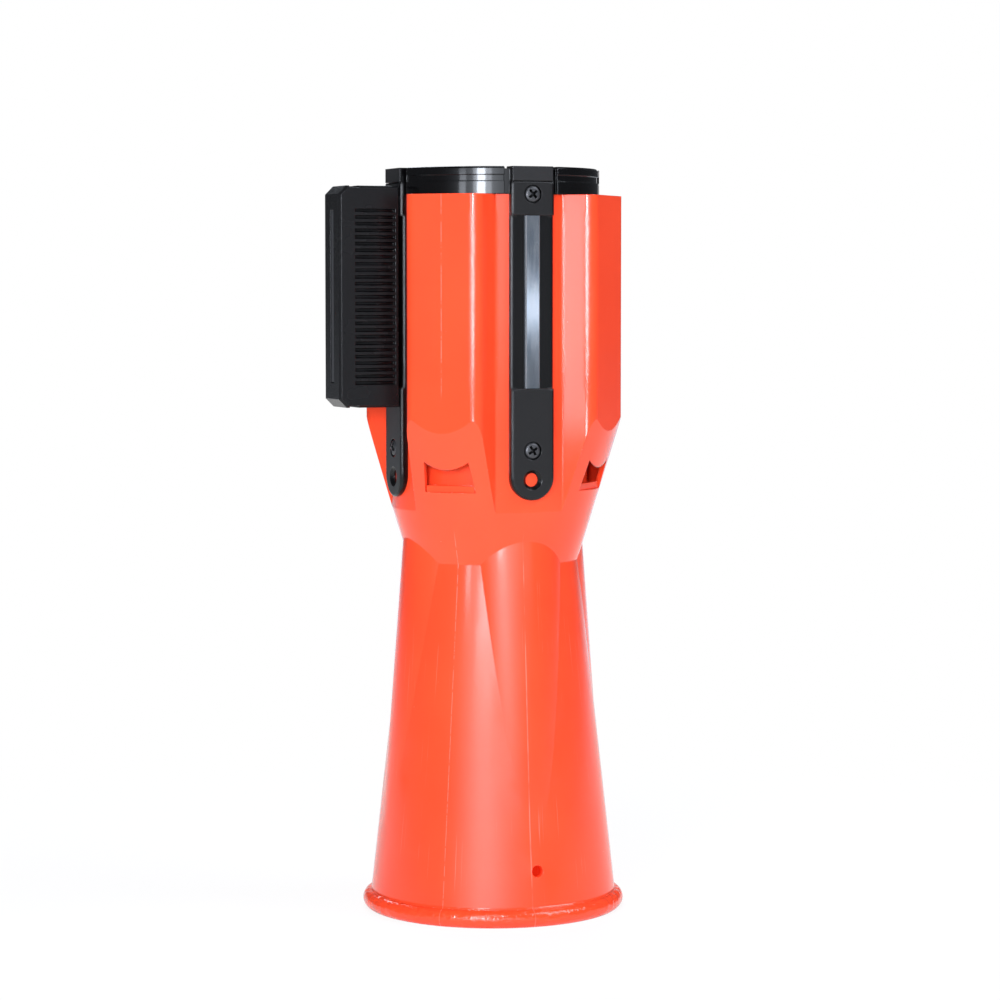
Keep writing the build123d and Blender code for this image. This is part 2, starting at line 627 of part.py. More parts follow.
# Spool: a drum with its lower flange, closed above by a second flange on a spigot
with BuildPart() as spool:
    with Locations((0, 0, SPOOL_BOTTOM)):
        Cylinder(FLANGE_RADIUS, FLANGE_THICKNESS, align=(Align.CENTER, Align.CENTER, Align.MIN))
        Cylinder(
            DRUM_RADIUS,
            SPOOL_TOP - FLANGE_THICKNESS - SPOOL_BOTTOM,
            align=(Align.CENTER, Align.CENTER, Align.MIN),
        )
    with Locations((0, 0, SPOOL_BOTTOM + BUSH_LENGTH)):
        Cylinder(
            DRUM_RADIUS - DRUM_WALL,
            SPOOL_TOP - SPOOL_BOTTOM,
            align=(Align.CENTER, Align.CENTER, Align.MIN),
            mode=Mode.SUBTRACT,
        )
        Cylinder(BUSH_RADIUS + RUNNING_FIT, 4 * BUSH_LENGTH, mode=Mode.SUBTRACT)
spool.part.label = "spool"
export_step(spool.part, "parts/spool.step")

with BuildPart() as spool_cover:
    with Locations((0, 0, SPOOL_TOP)):
        Cylinder(FLANGE_RADIUS, FLANGE_THICKNESS, align=(Align.CENTER, Align.CENTER, Align.MAX))
        Cylinder(
            DRUM_RADIUS - DRUM_WALL - RUNNING_FIT,
            BUSH_LENGTH,
            align=(Align.CENTER, Align.CENTER, Align.MAX),
        )
        Cylinder(BUSH_RADIUS + RUNNING_FIT, 4 * BUSH_LENGTH, mode=Mode.SUBTRACT)
spool_cover.part.label = "spool_cover"
export_step(spool_cover.part, "parts/spool_cover.step")

for name, bottom in {"lower_bush": SPOOL_BOTTOM, "upper_bush": SPOOL_TOP - BUSH_LENGTH}.items():
    with BuildPart() as bush:
        with BuildSketch(Plane.XY.offset(bottom)):
            Circle(BUSH_RADIUS)
            Circle(AXLE_RADIUS + RUNNING_FIT, mode=Mode.SUBTRACT)
        extrude(amount=BUSH_LENGTH)
    bush.part.label = name
    export_step(bush.part, f"parts/{name}.step")

# Power spring: a flat strip wound in half turns whose radius grows by half a pitch each time
spring_start = DRUM_RADIUS - DRUM_WALL - RUNNING_GAP - SPRING_THICKNESS - SPRING_PITCH * SPRING_TURNS
with BuildPart() as power_spring:
    with BuildSketch(Plane.XY.offset(CHANNEL_MIDDLE - SPRING_WIDTH / 2)):
        with BuildLine() as winding:
            for half_turn in range(2 * SPRING_TURNS):
                side_step = SPRING_PITCH / 2 * (half_turn % 2)
                CenterArc(
                    (side_step, 0),
                    spring_start + SPRING_PITCH / 2 * half_turn,
                    180 * half_turn,
                    180,
                )
        trace(line_width=SPRING_THICKNESS)
    extrude(amount=SPRING_WIDTH)
power_spring.part.label = "power_spring"
export_step(power_spring.part, "parts/power_spring.step")

# Belt: the roll on the drum, the slanting feed to the guide, and the straight run into the clip
with BuildPart() as belt_roll:
    with BuildSketch(Plane.XY.offset(BELT_BOTTOM)):
        Circle(ROLL_RADIUS)
        Circle(ROLL_INNER, mode=Mode.SUBTRACT)
    extrude(amount=BELT_WIDTH)
belt_roll.part.label = "belt_roll"
export_step(belt_roll.part, "parts/belt_roll.step")

feed_radius = ROLL_RADIUS + RUNNING_GAP + BELT_THICKNESS / 2
leaving_angle = OUTLET_SIDE + degrees(acos(feed_radius / BELT_TURN))
with BuildPart() as belt_feed:
    with BuildSketch(Plane.XY.offset(BELT_BOTTOM)):
        with BuildLine():
            Line(
                (feed_radius * cos(radians(leaving_angle)), feed_radius * sin(radians(leaving_angle))),
                (-BELT_TURN, 0),
            )
        trace(line_width=BELT_THICKNESS)
    extrude(amount=BELT_WIDTH)
belt_feed.part.label = "belt_feed"
export_step(belt_feed.part, "parts/belt_feed.step")

belt_run_start = BELT_TURN + RUNNING_GAP + BELT_THICKNESS / 2
with BuildPart() as belt_run:
    with BuildSketch(Plane.XY.offset(BELT_BOTTOM)):
        with Locations((-belt_run_start, 0)):
            Rectangle(
                BELT_PIN_REACH - BELT_PIN_RADIUS - RUNNING_GAP - belt_run_start,
                BELT_THICKNESS,
                align=(Align.MAX, Align.CENTER),
            )
        with Locations((-BELT_PIN_REACH, 0)):
            Circle(LOOP_RADIUS)
            Circle(BELT_PIN_RADIUS + RUNNING_GAP, mode=Mode.SUBTRACT)
    extrude(amount=BELT_WIDTH)
belt_run.part.label = "belt_run"
export_step(belt_run.part, "parts/belt_run.step")

# Belt guide: an upright throat between the plates that straightens the belt into the outlet
with BuildPart() as belt_guide:
    with BuildSketch(Plane.XY.offset(BASE_PLATE_TOP)):
        Circle(SPIGOT_RADIUS)
        with Locations((-GUIDE_INNER, 0)):
            Rectangle(
                SPIGOT_RADIUS,
                GUIDE_WIDTH,
                align=(Align.MAX, Align.CENTER),
                mode=Mode.INTERSECT,
            )
    extrude(amount=TOP_PLATE_BOTTOM - BASE_PLATE_TOP)
    with BuildSketch(Plane.XY.offset(CHANNEL_BOTTOM)):
        Polygon(
            (0, GUIDE_SLOT / 2 + GUIDE_FLARE),
            (-GUIDE_INNER, GUIDE_SLOT / 2 + GUIDE_FLARE),
            (-GUIDE_INNER - GUIDE_FLARE, GUIDE_SLOT / 2),
            (-SPIGOT_RADIUS - WALL, GUIDE_SLOT / 2),
            (-SPIGOT_RADIUS - WALL, -GUIDE_SLOT / 2),
            (-GUIDE_INNER - GUIDE_FLARE, -GUIDE_SLOT / 2),
            (-GUIDE_INNER, -GUIDE_SLOT / 2 - GUIDE_FLARE),
            (0, -GUIDE_SLOT / 2 - GUIDE_FLARE),
            align=None,
        )
    extrude(amount=CHANNEL_LENGTH, mode=Mode.SUBTRACT)
belt_guide.part.label = "belt_guide"
export_step(belt_guide.part, "parts/belt_guide.step")

# Belt clip: a tall grip with finger grooves on both sides and a magnet in its outer end
with BuildPart() as belt_clip:
    with BuildSketch(Plane.XZ) as side_view:
        with Locations((-CLIP_INNER, CLIP_BOTTOM)):
            Rectangle(CLIP_LENGTH, CLIP_HEIGHT, align=(Align.MAX, Align.MIN))
        chamfer(side_view.vertices().group_by(Axis.X)[0], CLIP_CORNER)
    extrude(amount=CLIP_THICKNESS / 2, both=True)
    side_faces = belt_clip.faces().filter_by(Axis.Y)
    chamfer(side_faces.edges(), CLIP_EDGE)
    for level in (CLIP_BOTTOM, CLIP_TOP):
        with Locations((-CLIP_OUTER + CLIP_CORNER + NOTCH_START, 0, level)):
            Box(
                NOTCH_LENGTH,
                2 * CLIP_THICKNESS,
                2 * NOTCH_DEPTH,
                align=(Align.MIN, Align.CENTER, Align.CENTER),
                mode=Mode.SUBTRACT,
            )
    grip_middle = -CLIP_INNER - GRIP_START - GRIP_LENGTH / 2
    for facing in (-1, 1):
        with BuildSketch(Plane.XZ.offset(facing * CLIP_THICKNESS / 2)):
            with Locations((grip_middle, CLIP_MIDDLE)):
                with GridLocations(0, GRIP_PITCH, 1, GRIP_COUNT):
                    Rectangle(GRIP_LENGTH, GRIP_GROOVE)
        extrude(amount=-facing * GRIP_DEPTH, taper=GRIP_DRAFT, mode=Mode.SUBTRACT)
    # Room for the belt, its sewn loop and pin, and the cap screw's head behind the clip
    with BuildSketch(Plane.XY.offset(BELT_BOTTOM - RUNNING_GAP)):
        with Locations((-CLIP_INNER, 0)):
            Rectangle(
                BELT_PIN_REACH - CLIP_INNER,
                BELT_THICKNESS + 2 * RUNNING_GAP,
                align=(Align.MAX, Align.CENTER),
            )
        with Locations((-BELT_PIN_REACH, 0)):
            Circle(LOOP_RADIUS + RUNNING_GAP)
    extrude(amount=BELT_WIDTH + 2 * RUNNING_GAP, mode=Mode.SUBTRACT)
    with Locations((-BELT_PIN_REACH, 0, CLIP_TOP)):
        Cylinder(
            BELT_PIN_RADIUS + RUNNING_FIT,
            CLIP_TOP - BELT_BOTTOM + BELT_END_ROOM,
            align=(Align.CENTER, Align.CENTER, Align.MAX),
            mode=Mode.SUBTRACT,
        )
    with Locations(side_plane(OUTLET_SIDE, CLIP_INNER, CAP_SCREW_HEIGHT)):
        Box(
            2 * SCREW_SEAT_RADIUS,
            2 * SCREW_SEAT_RADIUS,
            2 * SCREW_HEAD_HEIGHT,
            mode=Mode.SUBTRACT,
        )
    with Locations(side_plane(OUTLET_SIDE, CLIP_OUTER, CLIP_MIDDLE)):
        Box(MAGNET_WIDTH, CHANNEL_LENGTH, 2 * MAGNET_DEPTH, mode=Mode.SUBTRACT)
belt_clip.part.label = "belt_clip"
export_step(belt_clip.part, "parts/belt_clip.step")

with BuildPart() as belt_pin:
    with Locations((-BELT_PIN_REACH, 0, BELT_BOTTOM - BELT_END_ROOM)):
        Cylinder(
            BELT_PIN_RADIUS,
            CLIP_TOP - BELT_BOTTOM,
            align=(Align.CENTER, Align.CENTER, Align.MIN),
        )
belt_pin.part.label = "belt_pin"
export_step(belt_pin.part, "parts/belt_pin.step")

with BuildPart() as clip_magnet:
    with Locations(side_plane(OUTLET_SIDE, CLIP_OUTER - MAGNET_SET_BACK, CLIP_MIDDLE)):
        Box(
            MAGNET_WIDTH - 2 * RUNNING_FIT,
            CHANNEL_LENGTH - 2 * RUNNING_GAP,
            MAGNET_DEPTH - MAGNET_SET_BACK,
            align=(Align.CENTER, Align.CENTER, Align.MAX),
        )
clip_magnet.part.label = "clip_magnet"
export_step(clip_magnet.part, "parts/clip_magnet.step")
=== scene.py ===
from math import atan2, cos, pi, radians, sin, sqrt, tau

import bmesh
import bpy
from bpy.props import FloatProperty, FloatVectorProperty, IntProperty, PointerProperty
from mathutils import Matrix, Vector


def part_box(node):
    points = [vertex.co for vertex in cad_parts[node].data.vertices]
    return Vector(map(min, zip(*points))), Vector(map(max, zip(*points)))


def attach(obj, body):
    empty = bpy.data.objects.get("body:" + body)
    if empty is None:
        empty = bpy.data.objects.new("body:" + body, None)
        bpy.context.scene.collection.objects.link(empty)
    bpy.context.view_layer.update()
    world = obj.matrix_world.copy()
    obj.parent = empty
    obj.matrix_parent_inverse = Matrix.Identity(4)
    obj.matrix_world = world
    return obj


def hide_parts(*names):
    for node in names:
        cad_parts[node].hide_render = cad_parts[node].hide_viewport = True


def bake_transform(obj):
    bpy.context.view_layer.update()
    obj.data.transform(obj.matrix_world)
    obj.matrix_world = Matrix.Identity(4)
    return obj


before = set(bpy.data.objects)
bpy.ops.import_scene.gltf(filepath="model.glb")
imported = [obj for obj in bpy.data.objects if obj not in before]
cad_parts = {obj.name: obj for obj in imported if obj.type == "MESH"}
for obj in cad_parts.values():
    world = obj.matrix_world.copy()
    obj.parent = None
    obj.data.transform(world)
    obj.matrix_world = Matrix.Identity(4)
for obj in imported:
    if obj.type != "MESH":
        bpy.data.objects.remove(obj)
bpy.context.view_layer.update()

bl_info = {
    "name": "Cone topper belt barrier",
    "version": (1, 0, 0),
    "blender": (4, 5, 0),
    "location": "View3D > Sidebar > Barrier",
    "description": "Gives a packed cone topper belt barrier its finishes, screws, belt and stage",
    "category": "Object",
}

MILLIMETRES = 1000.0
# UV layer that holds the length along a strip
ALONG = "along"

# Soft boxes: name, degrees to the right of the camera, distance, height, size and radiance
LAMPS = (
    ("key", -11.0, 1.0, 0.35, (0.34, 0.24), 6.5),
    ("key_core", -12.0, 0.5, 0.302, (0.07, 0.134), 30.0),
    ("edge_card", -11.0, 0.3, 0.206, (0.05, 0.036), 24.0),
    ("left_card", -31.4, 0.504, 0.28, (0.06, 0.16), 6.5),
    ("right_slit", 43.0, 2.0, 0.268, (0.6, 0.036), 1.9),
    ("high_right_panel", 78.0, 2.0, 2.2, (1.6, 1.5), 6.5),
    ("high_back_panel", 190.0, 2.0, 2.2, (1.6, 1.5), 7.5),
    ("top_panel", -5.0, 2.0, 2.5, (1.2, 0.9), 5.0),
)
# Glows of the studio's wall: degrees to the right of the camera, sharpness, radiance,
# and the sine of the angle over the horizon at which each starts
GLOWS = (
    (-8.0, 25.0, 5.0, -0.3),
    (24.0, 60.0, 2.0, 0.045),
    (0.0, 1.5, 0.15, -0.3),
)
# Sines over which a glow rises, and between which all glows end overhead
GLOW_RISE = 0.04
GLOW_END = (0.2, 0.5)
# Cosines between which the backdrop behind the barrier turns white in reflections
BACKDROP_EDGE = (0.97, 0.99)
# Daylight tint of the lamps and of the studio's walls
COOL = (0.9, 0.96, 1.06)
WHITE = (1.0, 1.0, 1.0)
BLACK = (0.0, 0.0, 0.0)
FLOOR_GREY = (0.9, 0.9, 0.9)
FLOOR_SIDES = 96
SENSOR_WIDTH = 36.0

# Angles about Z of the four bars, from +X
BAR_ANGLES = (-90, 0, 90, 180)
# Half the width of a bar, in millimetres
BAR_HALF_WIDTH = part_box("receiver_front")[1].x * MILLIMETRES

# Settings that the colours, and the shares from 0 to 1, have in common
COLOUR = {"subtype": "COLOR", "min": 0.0, "max": 1.0}
SHARE = {"subtype": "FACTOR", "min": 0.0, "max": 1.0}

RED_NODES = ("housing", "cone_seat")
BAR_NODES = ("receiver_front", "receiver_right", "receiver_rear", "belt_outlet")
CLIP_NODES = ("belt_clip", "belt_guide", "spool", "spool_cover", "cassette_base", "cassette_top")
KEEPER_NODES = ("keeper_front", "keeper_right", "keeper_rear")
ZINC_NODES = ("pillar_screws", "base_screws", "cassette_pillars", "axle", "axle_ring", "belt_pin")
BUSH_NODES = ("lower_bush", "upper_bush")


class BarrierFinishes(bpy.types.PropertyGroup):
    """Colours and gloss of the barrier's materials."""

    red: FloatVectorProperty(
        name="Red",
        description="Colour of the moulded housing",
        default=(0.95, 0.068, 0.02),
        **COLOUR,
    )
    red_roughness: FloatProperty(
        name="Red roughness",
        description="Roughness of the moulded housing",
        default=0.08,
        **SHARE,
    )
    skirt_roughness: FloatProperty(
        name="Skirt roughness",
        description="Roughness of the housing's skirt, which is handled most",
        default=0.13,
        **SHARE,
    )
    lobe_radius: FloatProperty(
        name="Lobe radius",
        description="Softening of the corners of the head's lobes",
        unit="LENGTH",
        default=0.0028,
        min=0.0,
    )
    black: FloatVectorProperty(
        name="Black",
        description="Colour of the cap, bars and clip where they are polished",
        default=(0.002, 0.0019, 0.0021),
        **COLOUR,
    )
    grained_black: FloatVectorProperty(
        name="Grained black",
        description="Colour of the cap, bars and clip where they have a grain",
        default=(0.0125, 0.0118, 0.0122),
        **COLOUR,
    )
    keeper: FloatVectorProperty(
        name="Keeper steel",
        description="Colour of the plated steel strips",
        default=(0.62, 0.67, 0.74),
        **COLOUR,
    )
    zinc: FloatVectorProperty(
        name="Zinc steel",
        description="Colour of the axle, pillars and small screws",
        default=(0.62, 0.63, 0.64),
        **COLOUR,
    )
    belt: FloatVectorProperty(
        name="Belt",
        description="Colour of the woven belt",
        default=(0.55, 0.016, 0.016),
        **COLOUR,
    )
    edge_radius: FloatProperty(
        name="Edge radius",
        description="Rounding of the moulded edges",
        unit="LENGTH",
        default=0.0005,
        min=0.0,
    )
    bar_edge_radius: FloatProperty(
        name="Bar edge radius",
        description="Rounding of the bars' edges",
        unit="LENGTH",
        default=0.002,
        min=0.0,
    )


class BarrierScrews(bpy.types.PropertyGroup):
    """Sizes of the cross-recessed screws."""

    head_radius: FloatProperty(
        name="Head radius",
        description="Radius of the pan head",
        unit="LENGTH",
        default=0.0036,
    )
    head_height: FloatProperty(
        name="Head height",
        description="Height of the pan head over its seat",
        unit="LENGTH",
        default=0.002,
    )
    shank_radius: FloatProperty(
        name="Shank radius",
        description="Radius of the shank",
        unit="LENGTH",
        default=0.002,
    )
    shank_length: FloatProperty(
        name="Shank length",
        description="Length of the shank under the head",
        unit="LENGTH",
        default=0.011,
    )
    cross_reach: FloatProperty(
        name="Cross reach",
        description="Half the length of the cross recess",
        unit="LENGTH",
        default=0.0029,
    )
    cross_width: FloatProperty(
        name="Cross width",
        description="Width of each slot of the cross recess",
        unit="LENGTH",
        default=0.0014,
    )
    cross_turn: FloatProperty(
        name="Cross turn",
        description="How far each cross is turned from its neighbour",
        subtype="ANGLE",
        default=radians(41),
    )


class BarrierBelt(bpy.types.PropertyGroup):
    """Sizes of the woven belt."""

    thickness: FloatProperty(
        name="Thickness",
        description="Thickness of the webbing",
        unit="LENGTH",
        default=0.00055,
    )
    rib_pitch: FloatProperty(
        name="Rib pitch",
        description="Spacing of the weave's ribs",
        unit="LENGTH",
        default=0.0011,
    )
    slack: FloatProperty(
        name="Slack",
        description="Room between the turns on the spool",
        unit="LENGTH",
        default=0.00002,
    )
    grip: FloatProperty(
        name="Grip",
        description="Length of belt that stays with the outlet as the clip is pulled away",
        unit="LENGTH",
        default=0.0046,
    )
    turns: IntProperty(
        name="Turns",
        description="Turns of belt on the spool",
        default=20,
        min=2,
    )
    steps: IntProperty(
        name="Steps",
        description="Faces round each turn",
        default=64,
        min=8,
    )
    spans: IntProperty(
        name="Spans",
        description="Faces along the length that is drawn out",
        default=80,
        min=8,
    )


class BarrierStage(bpy.types.PropertyGroup):
    """Camera, floor and lights."""

    azimuth: FloatProperty(
        name="Azimuth",
        description="Camera's angle round the barrier, to the left of its front",
        subtype="ANGLE",
        default=radians(21.44),
    )
    distance: FloatProperty(
        name="Distance",
        description="Camera's level distance from the axis",
        unit="LENGTH",
        default=1.4552,
    )
    eye_height: FloatProperty(
        name="Eye height",
        description="Camera's height over the floor",
        unit="LENGTH",
        default=0.2909,
    )
    aim_height: FloatProperty(
        name="Aim height",
        description="Height on the axis that the camera looks at",
        unit="LENGTH",
        default=0.191,
    )
    aim_side: FloatProperty(
        name="Aim to the side",
        description="Distance to the right of the axis that the camera looks at",
        unit="LENGTH",
        default=0.0033,
    )
    lens: FloatProperty(
        name="Lens",
        description="Focal length in millimetres on a 36 mm sensor",
        unit="CAMERA",
        default=112.0,
    )
    floor_radius: FloatProperty(
        name="Floor radius",
        description="Radius of the pale floor",
        unit="LENGTH",
        default=12.0,
    )
    shadow_reach: FloatProperty(
        name="Shadow reach",
        description="Distance from the axis over which the floor keeps the barrier's shadow",
        unit="LENGTH",
        default=0.5,
    )
    lit_reach: FloatProperty(
        name="Lit reach",
        description="Distance from the axis at which the floor's white ends in reflections",
        unit="LENGTH",
        default=1.5,
    )
    bead_width: FloatProperty(
        name="Bead width",
        description="Width of the base bead, inside which the floor is covered",
        unit="LENGTH",
        default=0.006,
    )
    floor_white: FloatProperty(
        name="Floor white",
        description="How much of the floor's own white shows beside the barrier",
        default=0.9,
        **SHARE,
    )
    surround: FloatProperty(
        name="Surround",
        description="Brightness of the studio around the barrier",
        default=0.08,
        min=0.0,
    )


class Wire:
    """A value socket whose arithmetic adds Math nodes to its tree."""

    def __init__(self, nodes, socket):
        self.nodes = nodes
        self.socket = socket

    def maths(self, operation, *others):
        """The value that an operation gives on this wire and others."""
        return self.nodes.maths(operation, self, *others)

    def __add__(self, other):
        return self.maths("ADD", other)

    __radd__ = __add__

    def __sub__(self, other):
        return self.maths("SUBTRACT", other)

    def __rsub__(self, other):
        return self.nodes.maths("SUBTRACT", other, self)

    def __mul__(self, other):
        return self.maths("MULTIPLY", other)

    __rmul__ = __mul__

    def __truediv__(self, other):
        return self.maths("DIVIDE", other)

    def __rtruediv__(self, other):
        return self.nodes.maths("DIVIDE", other, self)

    def __pow__(self, other):
        return self.maths("POWER", other)

    def __rpow__(self, other):
        return self.nodes.maths("POWER", other, self)

    def __abs__(self):
        return self.maths("ABSOLUTE")


class NodeTree:
    """Adds shader nodes to a tree, and links or sets their sockets."""

    def __init__(self, tree):
        self.tree = tree

    def node(self, kind, settings=None, inputs=None):
        """Adds a node of a kind, sets its settings first, then the values or links of its sockets."""
        node = self.tree.nodes.new(kind)
        for key, value in (settings or {}).items():
            setattr(node, key, value)
        for key, value in (inputs or {}).items():
            self.feed(node.inputs[key], value)
        return node

    def feed(self, target, value):
        """Links a wire or a socket to a target socket, or sets the target's own value."""
        source = value.socket if isinstance(value, Wire) else value
        if isinstance(source, bpy.types.NodeSocket):
            self.tree.links.new(source, target)
        else:
            target.default_value = source

    def maths(self, operation, *values):
        """A value worked out from values."""
        node = self.node("ShaderNodeMath", {"operation": operation}, dict(enumerate(values)))
        return Wire(self, node.outputs[0])

    def vector_maths(self, operation, *vectors):
        """The node that works out a vector or a value from vectors."""
        return self.node("ShaderNodeVectorMath", {"operation": operation}, dict(enumerate(vectors)))

    def likeness(self, first, second):
        """Dot product of two vectors."""
        return Wire(self, self.vector_maths("DOT_PRODUCT", first, second).outputs["Value"])

    def split(self, vector):
        """The X, Y and Z of a vector."""
        node = self.node("ShaderNodeSeparateXYZ", inputs={0: vector})
        return [Wire(self, output) for output in node.outputs]

    def step(self, value, low, high):
        """0 below low and 1 above high, with a smooth rise between them."""
        node = self.node(
            "ShaderNodeMapRange",
            {"interpolation_type": "SMOOTHSTEP"},
            {"Value": value, "From Min": low, "From Max": high},
        )
        return Wire(self, node.outputs["Result"])

    def mix(self, factor, first, second):
        """A colour between two colours."""
        node = self.node("ShaderNodeMix", {"data_type": "RGBA"}, {0: factor, 6: first, 7: second})
        return node.outputs[2]

    def rays(self):
        """Marks of the rays that the camera sends, and of those that are mirrored or let through."""
        kinds = self.node("ShaderNodeLightPath").outputs
        mirrored = self.maths("MAXIMUM", kinds["Is Glossy Ray"], kinds["Is Transmission Ray"])
        return kinds["Is Camera Ray"], mirrored


# Samples that find the edges and the recesses near each point of a surface
EDGE_SAMPLES = 6
RECESS_SAMPLES = 8
# One less the cosine of a normal's turn, where an edge starts to count and where it counts in full
EDGE_TURN = (0.01, 0.12)
# Open share of the space over a face, at which it still counts as a recess and at which it counts as open
OPEN_SHARE = (0.55, 0.85)


class Finish(NodeTree):
    """A material built around one Principled shader, with places measured in millimetres."""

    def __init__(self, name):
        self.material = bpy.data.materials.new(name)
        self.material.use_nodes = True
        super().__init__(self.material.node_tree)
        self.shader = self.tree.nodes["Principled BSDF"]
        coordinates = self.node("ShaderNodeTexCoord")
        scaled = self.node(
            "ShaderNodeVectorMath",
            {"operation": "SCALE"},
            {0: coordinates.outputs["Object"], "Scale": MILLIMETRES},
        )
        self.place = scaled.outputs[0]
        self.facing = self.node("ShaderNodeNewGeometry").outputs["Normal"]
        self.x, self.y, self.z = self.split(self.place)
        # On the side of the head that a bar is on, reach runs outwards and side runs across the bar
        self.reach = self.maths("MAXIMUM", abs(self.x), abs(self.y))
        self.side = self.maths("MINIMUM", abs(self.x), abs(self.y))

    def set(self, **inputs):
        """Sets or links the Principled shader's sockets, by their names with underscores."""
        for key, value in inputs.items():
            self.feed(self.shader.inputs[key.replace("_", " ")], value)

    def over(self, height, fade):
        """1 over a height in millimetres, and 0 from a fade under it."""
        return self.step(self.z, height - fade, height)

    def under(self, height, fade):
        """0 over a height in millimetres, and 1 from a fade under it."""
        return 1 - self.over(height, fade)

    def cells(self, size, stretch=(1.0, 1.0, 1.0)):
        """Places counted in cells of a size in millimetres, drawn out along the axes by stretch."""
        sizes = tuple(size * share for share in stretch)
        return self.vector_maths("DIVIDE", self.place, sizes).outputs[0]

    def lumps(self, vector, detail):
        """Noise from 0 to 1, with lumps about one unit of the vector long."""
        inputs = {"Vector": vector, "Scale": 1.0, "Detail": detail}
        return Wire(self, self.node("ShaderNodeTexNoise", inputs=inputs).outputs[0])

    def noise(self, size, detail=2.0, stretch=(1.0, 1.0, 1.0)):
        """Noise from 0 to 1 with lumps of a size in millimetres, drawn out along the axes by stretch."""
        return self.lumps(self.cells(size, stretch), detail)

    def patches(self, size, low, high, detail=2.0):
        """Patches of 1 on 0, with edges where noise of a size in millimetres goes from low to high."""
        return self.step(self.noise(size, detail), low, high)

    def specks(self, size, share):
        """Spots of 1 on 0, at most one in each cell of a size in millimetres, as wide as share of it."""
        node = self.node("ShaderNodeTexVoronoi", inputs={"Vector": self.cells(size), "Scale": 1.0})
        return 1 - self.step(Wire(self, node.outputs["Distance"]), share / 2, share)

    def round_edges(self, radius):
        """Normal of a surface whose edges are rounded, and a mask of those edges."""
        normal = self.node("ShaderNodeBevel", {"samples": EDGE_SAMPLES}, {"Radius": radius}).outputs[0]
        return normal, self.step(1 - self.likeness(normal, self.facing), *EDGE_TURN)

    def mix_normals(self, factor, first, second):
        """A normal between two normals."""
        inputs = {0: factor, 4: first, 5: second}
        return self.node("ShaderNodeMix", {"data_type": "VECTOR"}, inputs).outputs[1]

    def open_face(self, distance):
        """1 on open faces and 0 in grooves and recesses, as seen within a distance in metres by ambient
        occlusion; where it feeds a colour, it paints shade.
        """
        settings = {"samples": RECESS_SAMPLES, "only_local": True}
        shade = self.node("ShaderNodeAmbientOcclusion", settings, {"Distance": distance})
        return self.step(Wire(self, shade.outputs["AO"]), *OPEN_SHARE)

    def bump(self, height, depth, normal=None):
        """Normal of a surface raised by a height from 0 to 1 times a depth in metres."""
        inputs = {"Height": height, "Strength": 1.0, "Distance": depth}
        if normal is not None:
            inputs["Normal"] = normal
        return self.node("ShaderNodeBump", inputs=inputs).outputs[0]


def tone(colour, shares=(1.0, 1.0, 1.0)):
    """A colour as a shader takes it, with each channel brought to its share."""
    return (*(channel * share for channel, share in zip(colour, shares)), 1.0)


def weighted(masks, shares):
    """Sum of the masks that shares names, each times its share."""
    first, *rest = (masks[name] * share for name, share in shares.items())
    return sum(rest, first)


PLASTIC_IOR = 1.46

# Zones of the red moulding in millimetres: how tall they are, how far under the neck the handled one ends,
# and how far each takes to fade
BEAD_HEIGHT = 9.0
BEAD_FADE = 1.0
SKIRT_FADE = 20.0
HANDLED_DROP = 15.0
HANDLED_FADE = 60.0
FLARE_FADE = 8.0
LOBE_LENGTH = 80.0
LOBE_FADE = 4.0
# Upright scratches on the skirt: how many lie in a radian, and their length in millimetres
STROKES_IN_RADIAN = 90.0
STROKE_LENGTH = 90.0
# Weld line down the skirt: its angle from +X, the skirt's mean radius in millimetres,
# and the distances between which the line fades out
WELD_ANGLE = radians(-93)
SKIRT_RADIUS = 50.0
WELD_WIDTH = (0.1, 0.35)
# Distances in millimetres between which the mould's parting line fades out
PARTING_WIDTH = (0.08, 0.24)
# How far each mark whitens the red plastic, roughens it and stands out of it
RED_WHITENING = {"scuffs_and_edge_highlight": 0.4, "parting": 0.22, "weld": 0.25, "dust": 0.25, "scratches": 0.22}
RED_ROUGHENING = {"cloud": 0.03, "streaks": 0.04, "scuffs_and_edge_highlight": 0.3, "scratches": -0.08}
RED_RELIEF = {"grain": 0.35, "streaks": 0.25, "parting": 0.9, "lumps": 40.0}
RED_RELIEF_DEPTH = 0.00002
# Shares of the red that its clouds keep, and the colour of scraped plastic
RED_CLOUD = (0.95, 0.85, 0.85)
SCRAPED_RED = (1.0, 0.42, 0.34)
# Strength of the painted glow that the skirt's inner faces emit in place of light that comes through its
# wall, and how far inwards in millimetres a face looks where it starts to show that glow and where it
# shows it in full
PAINTED_GLOW_STRENGTH = 0.22
INWARD_LOOK = (5.0, 15.0)


def red_zones(finish):
    """Masks of the skirt, the part of it that is handled, the flare, the lobes and the bead."""
    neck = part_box("cone_seat")[0].z * MILLIMETRES
    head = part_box("belt_run")[0].z * MILLIMETRES
    return {
        "skirt": finish.under(neck, SKIRT_FADE),
        "handled": finish.under(neck - HANDLED_DROP, HANDLED_FADE),
        "flare": finish.over(neck, FLARE_FADE) * finish.under(head, FLARE_FADE),
        "lobes": finish.over(head, LOBE_FADE) * finish.under(head + LOBE_LENGTH, LOBE_FADE),
        "bead": finish.under(BEAD_HEIGHT, BEAD_FADE),
    }


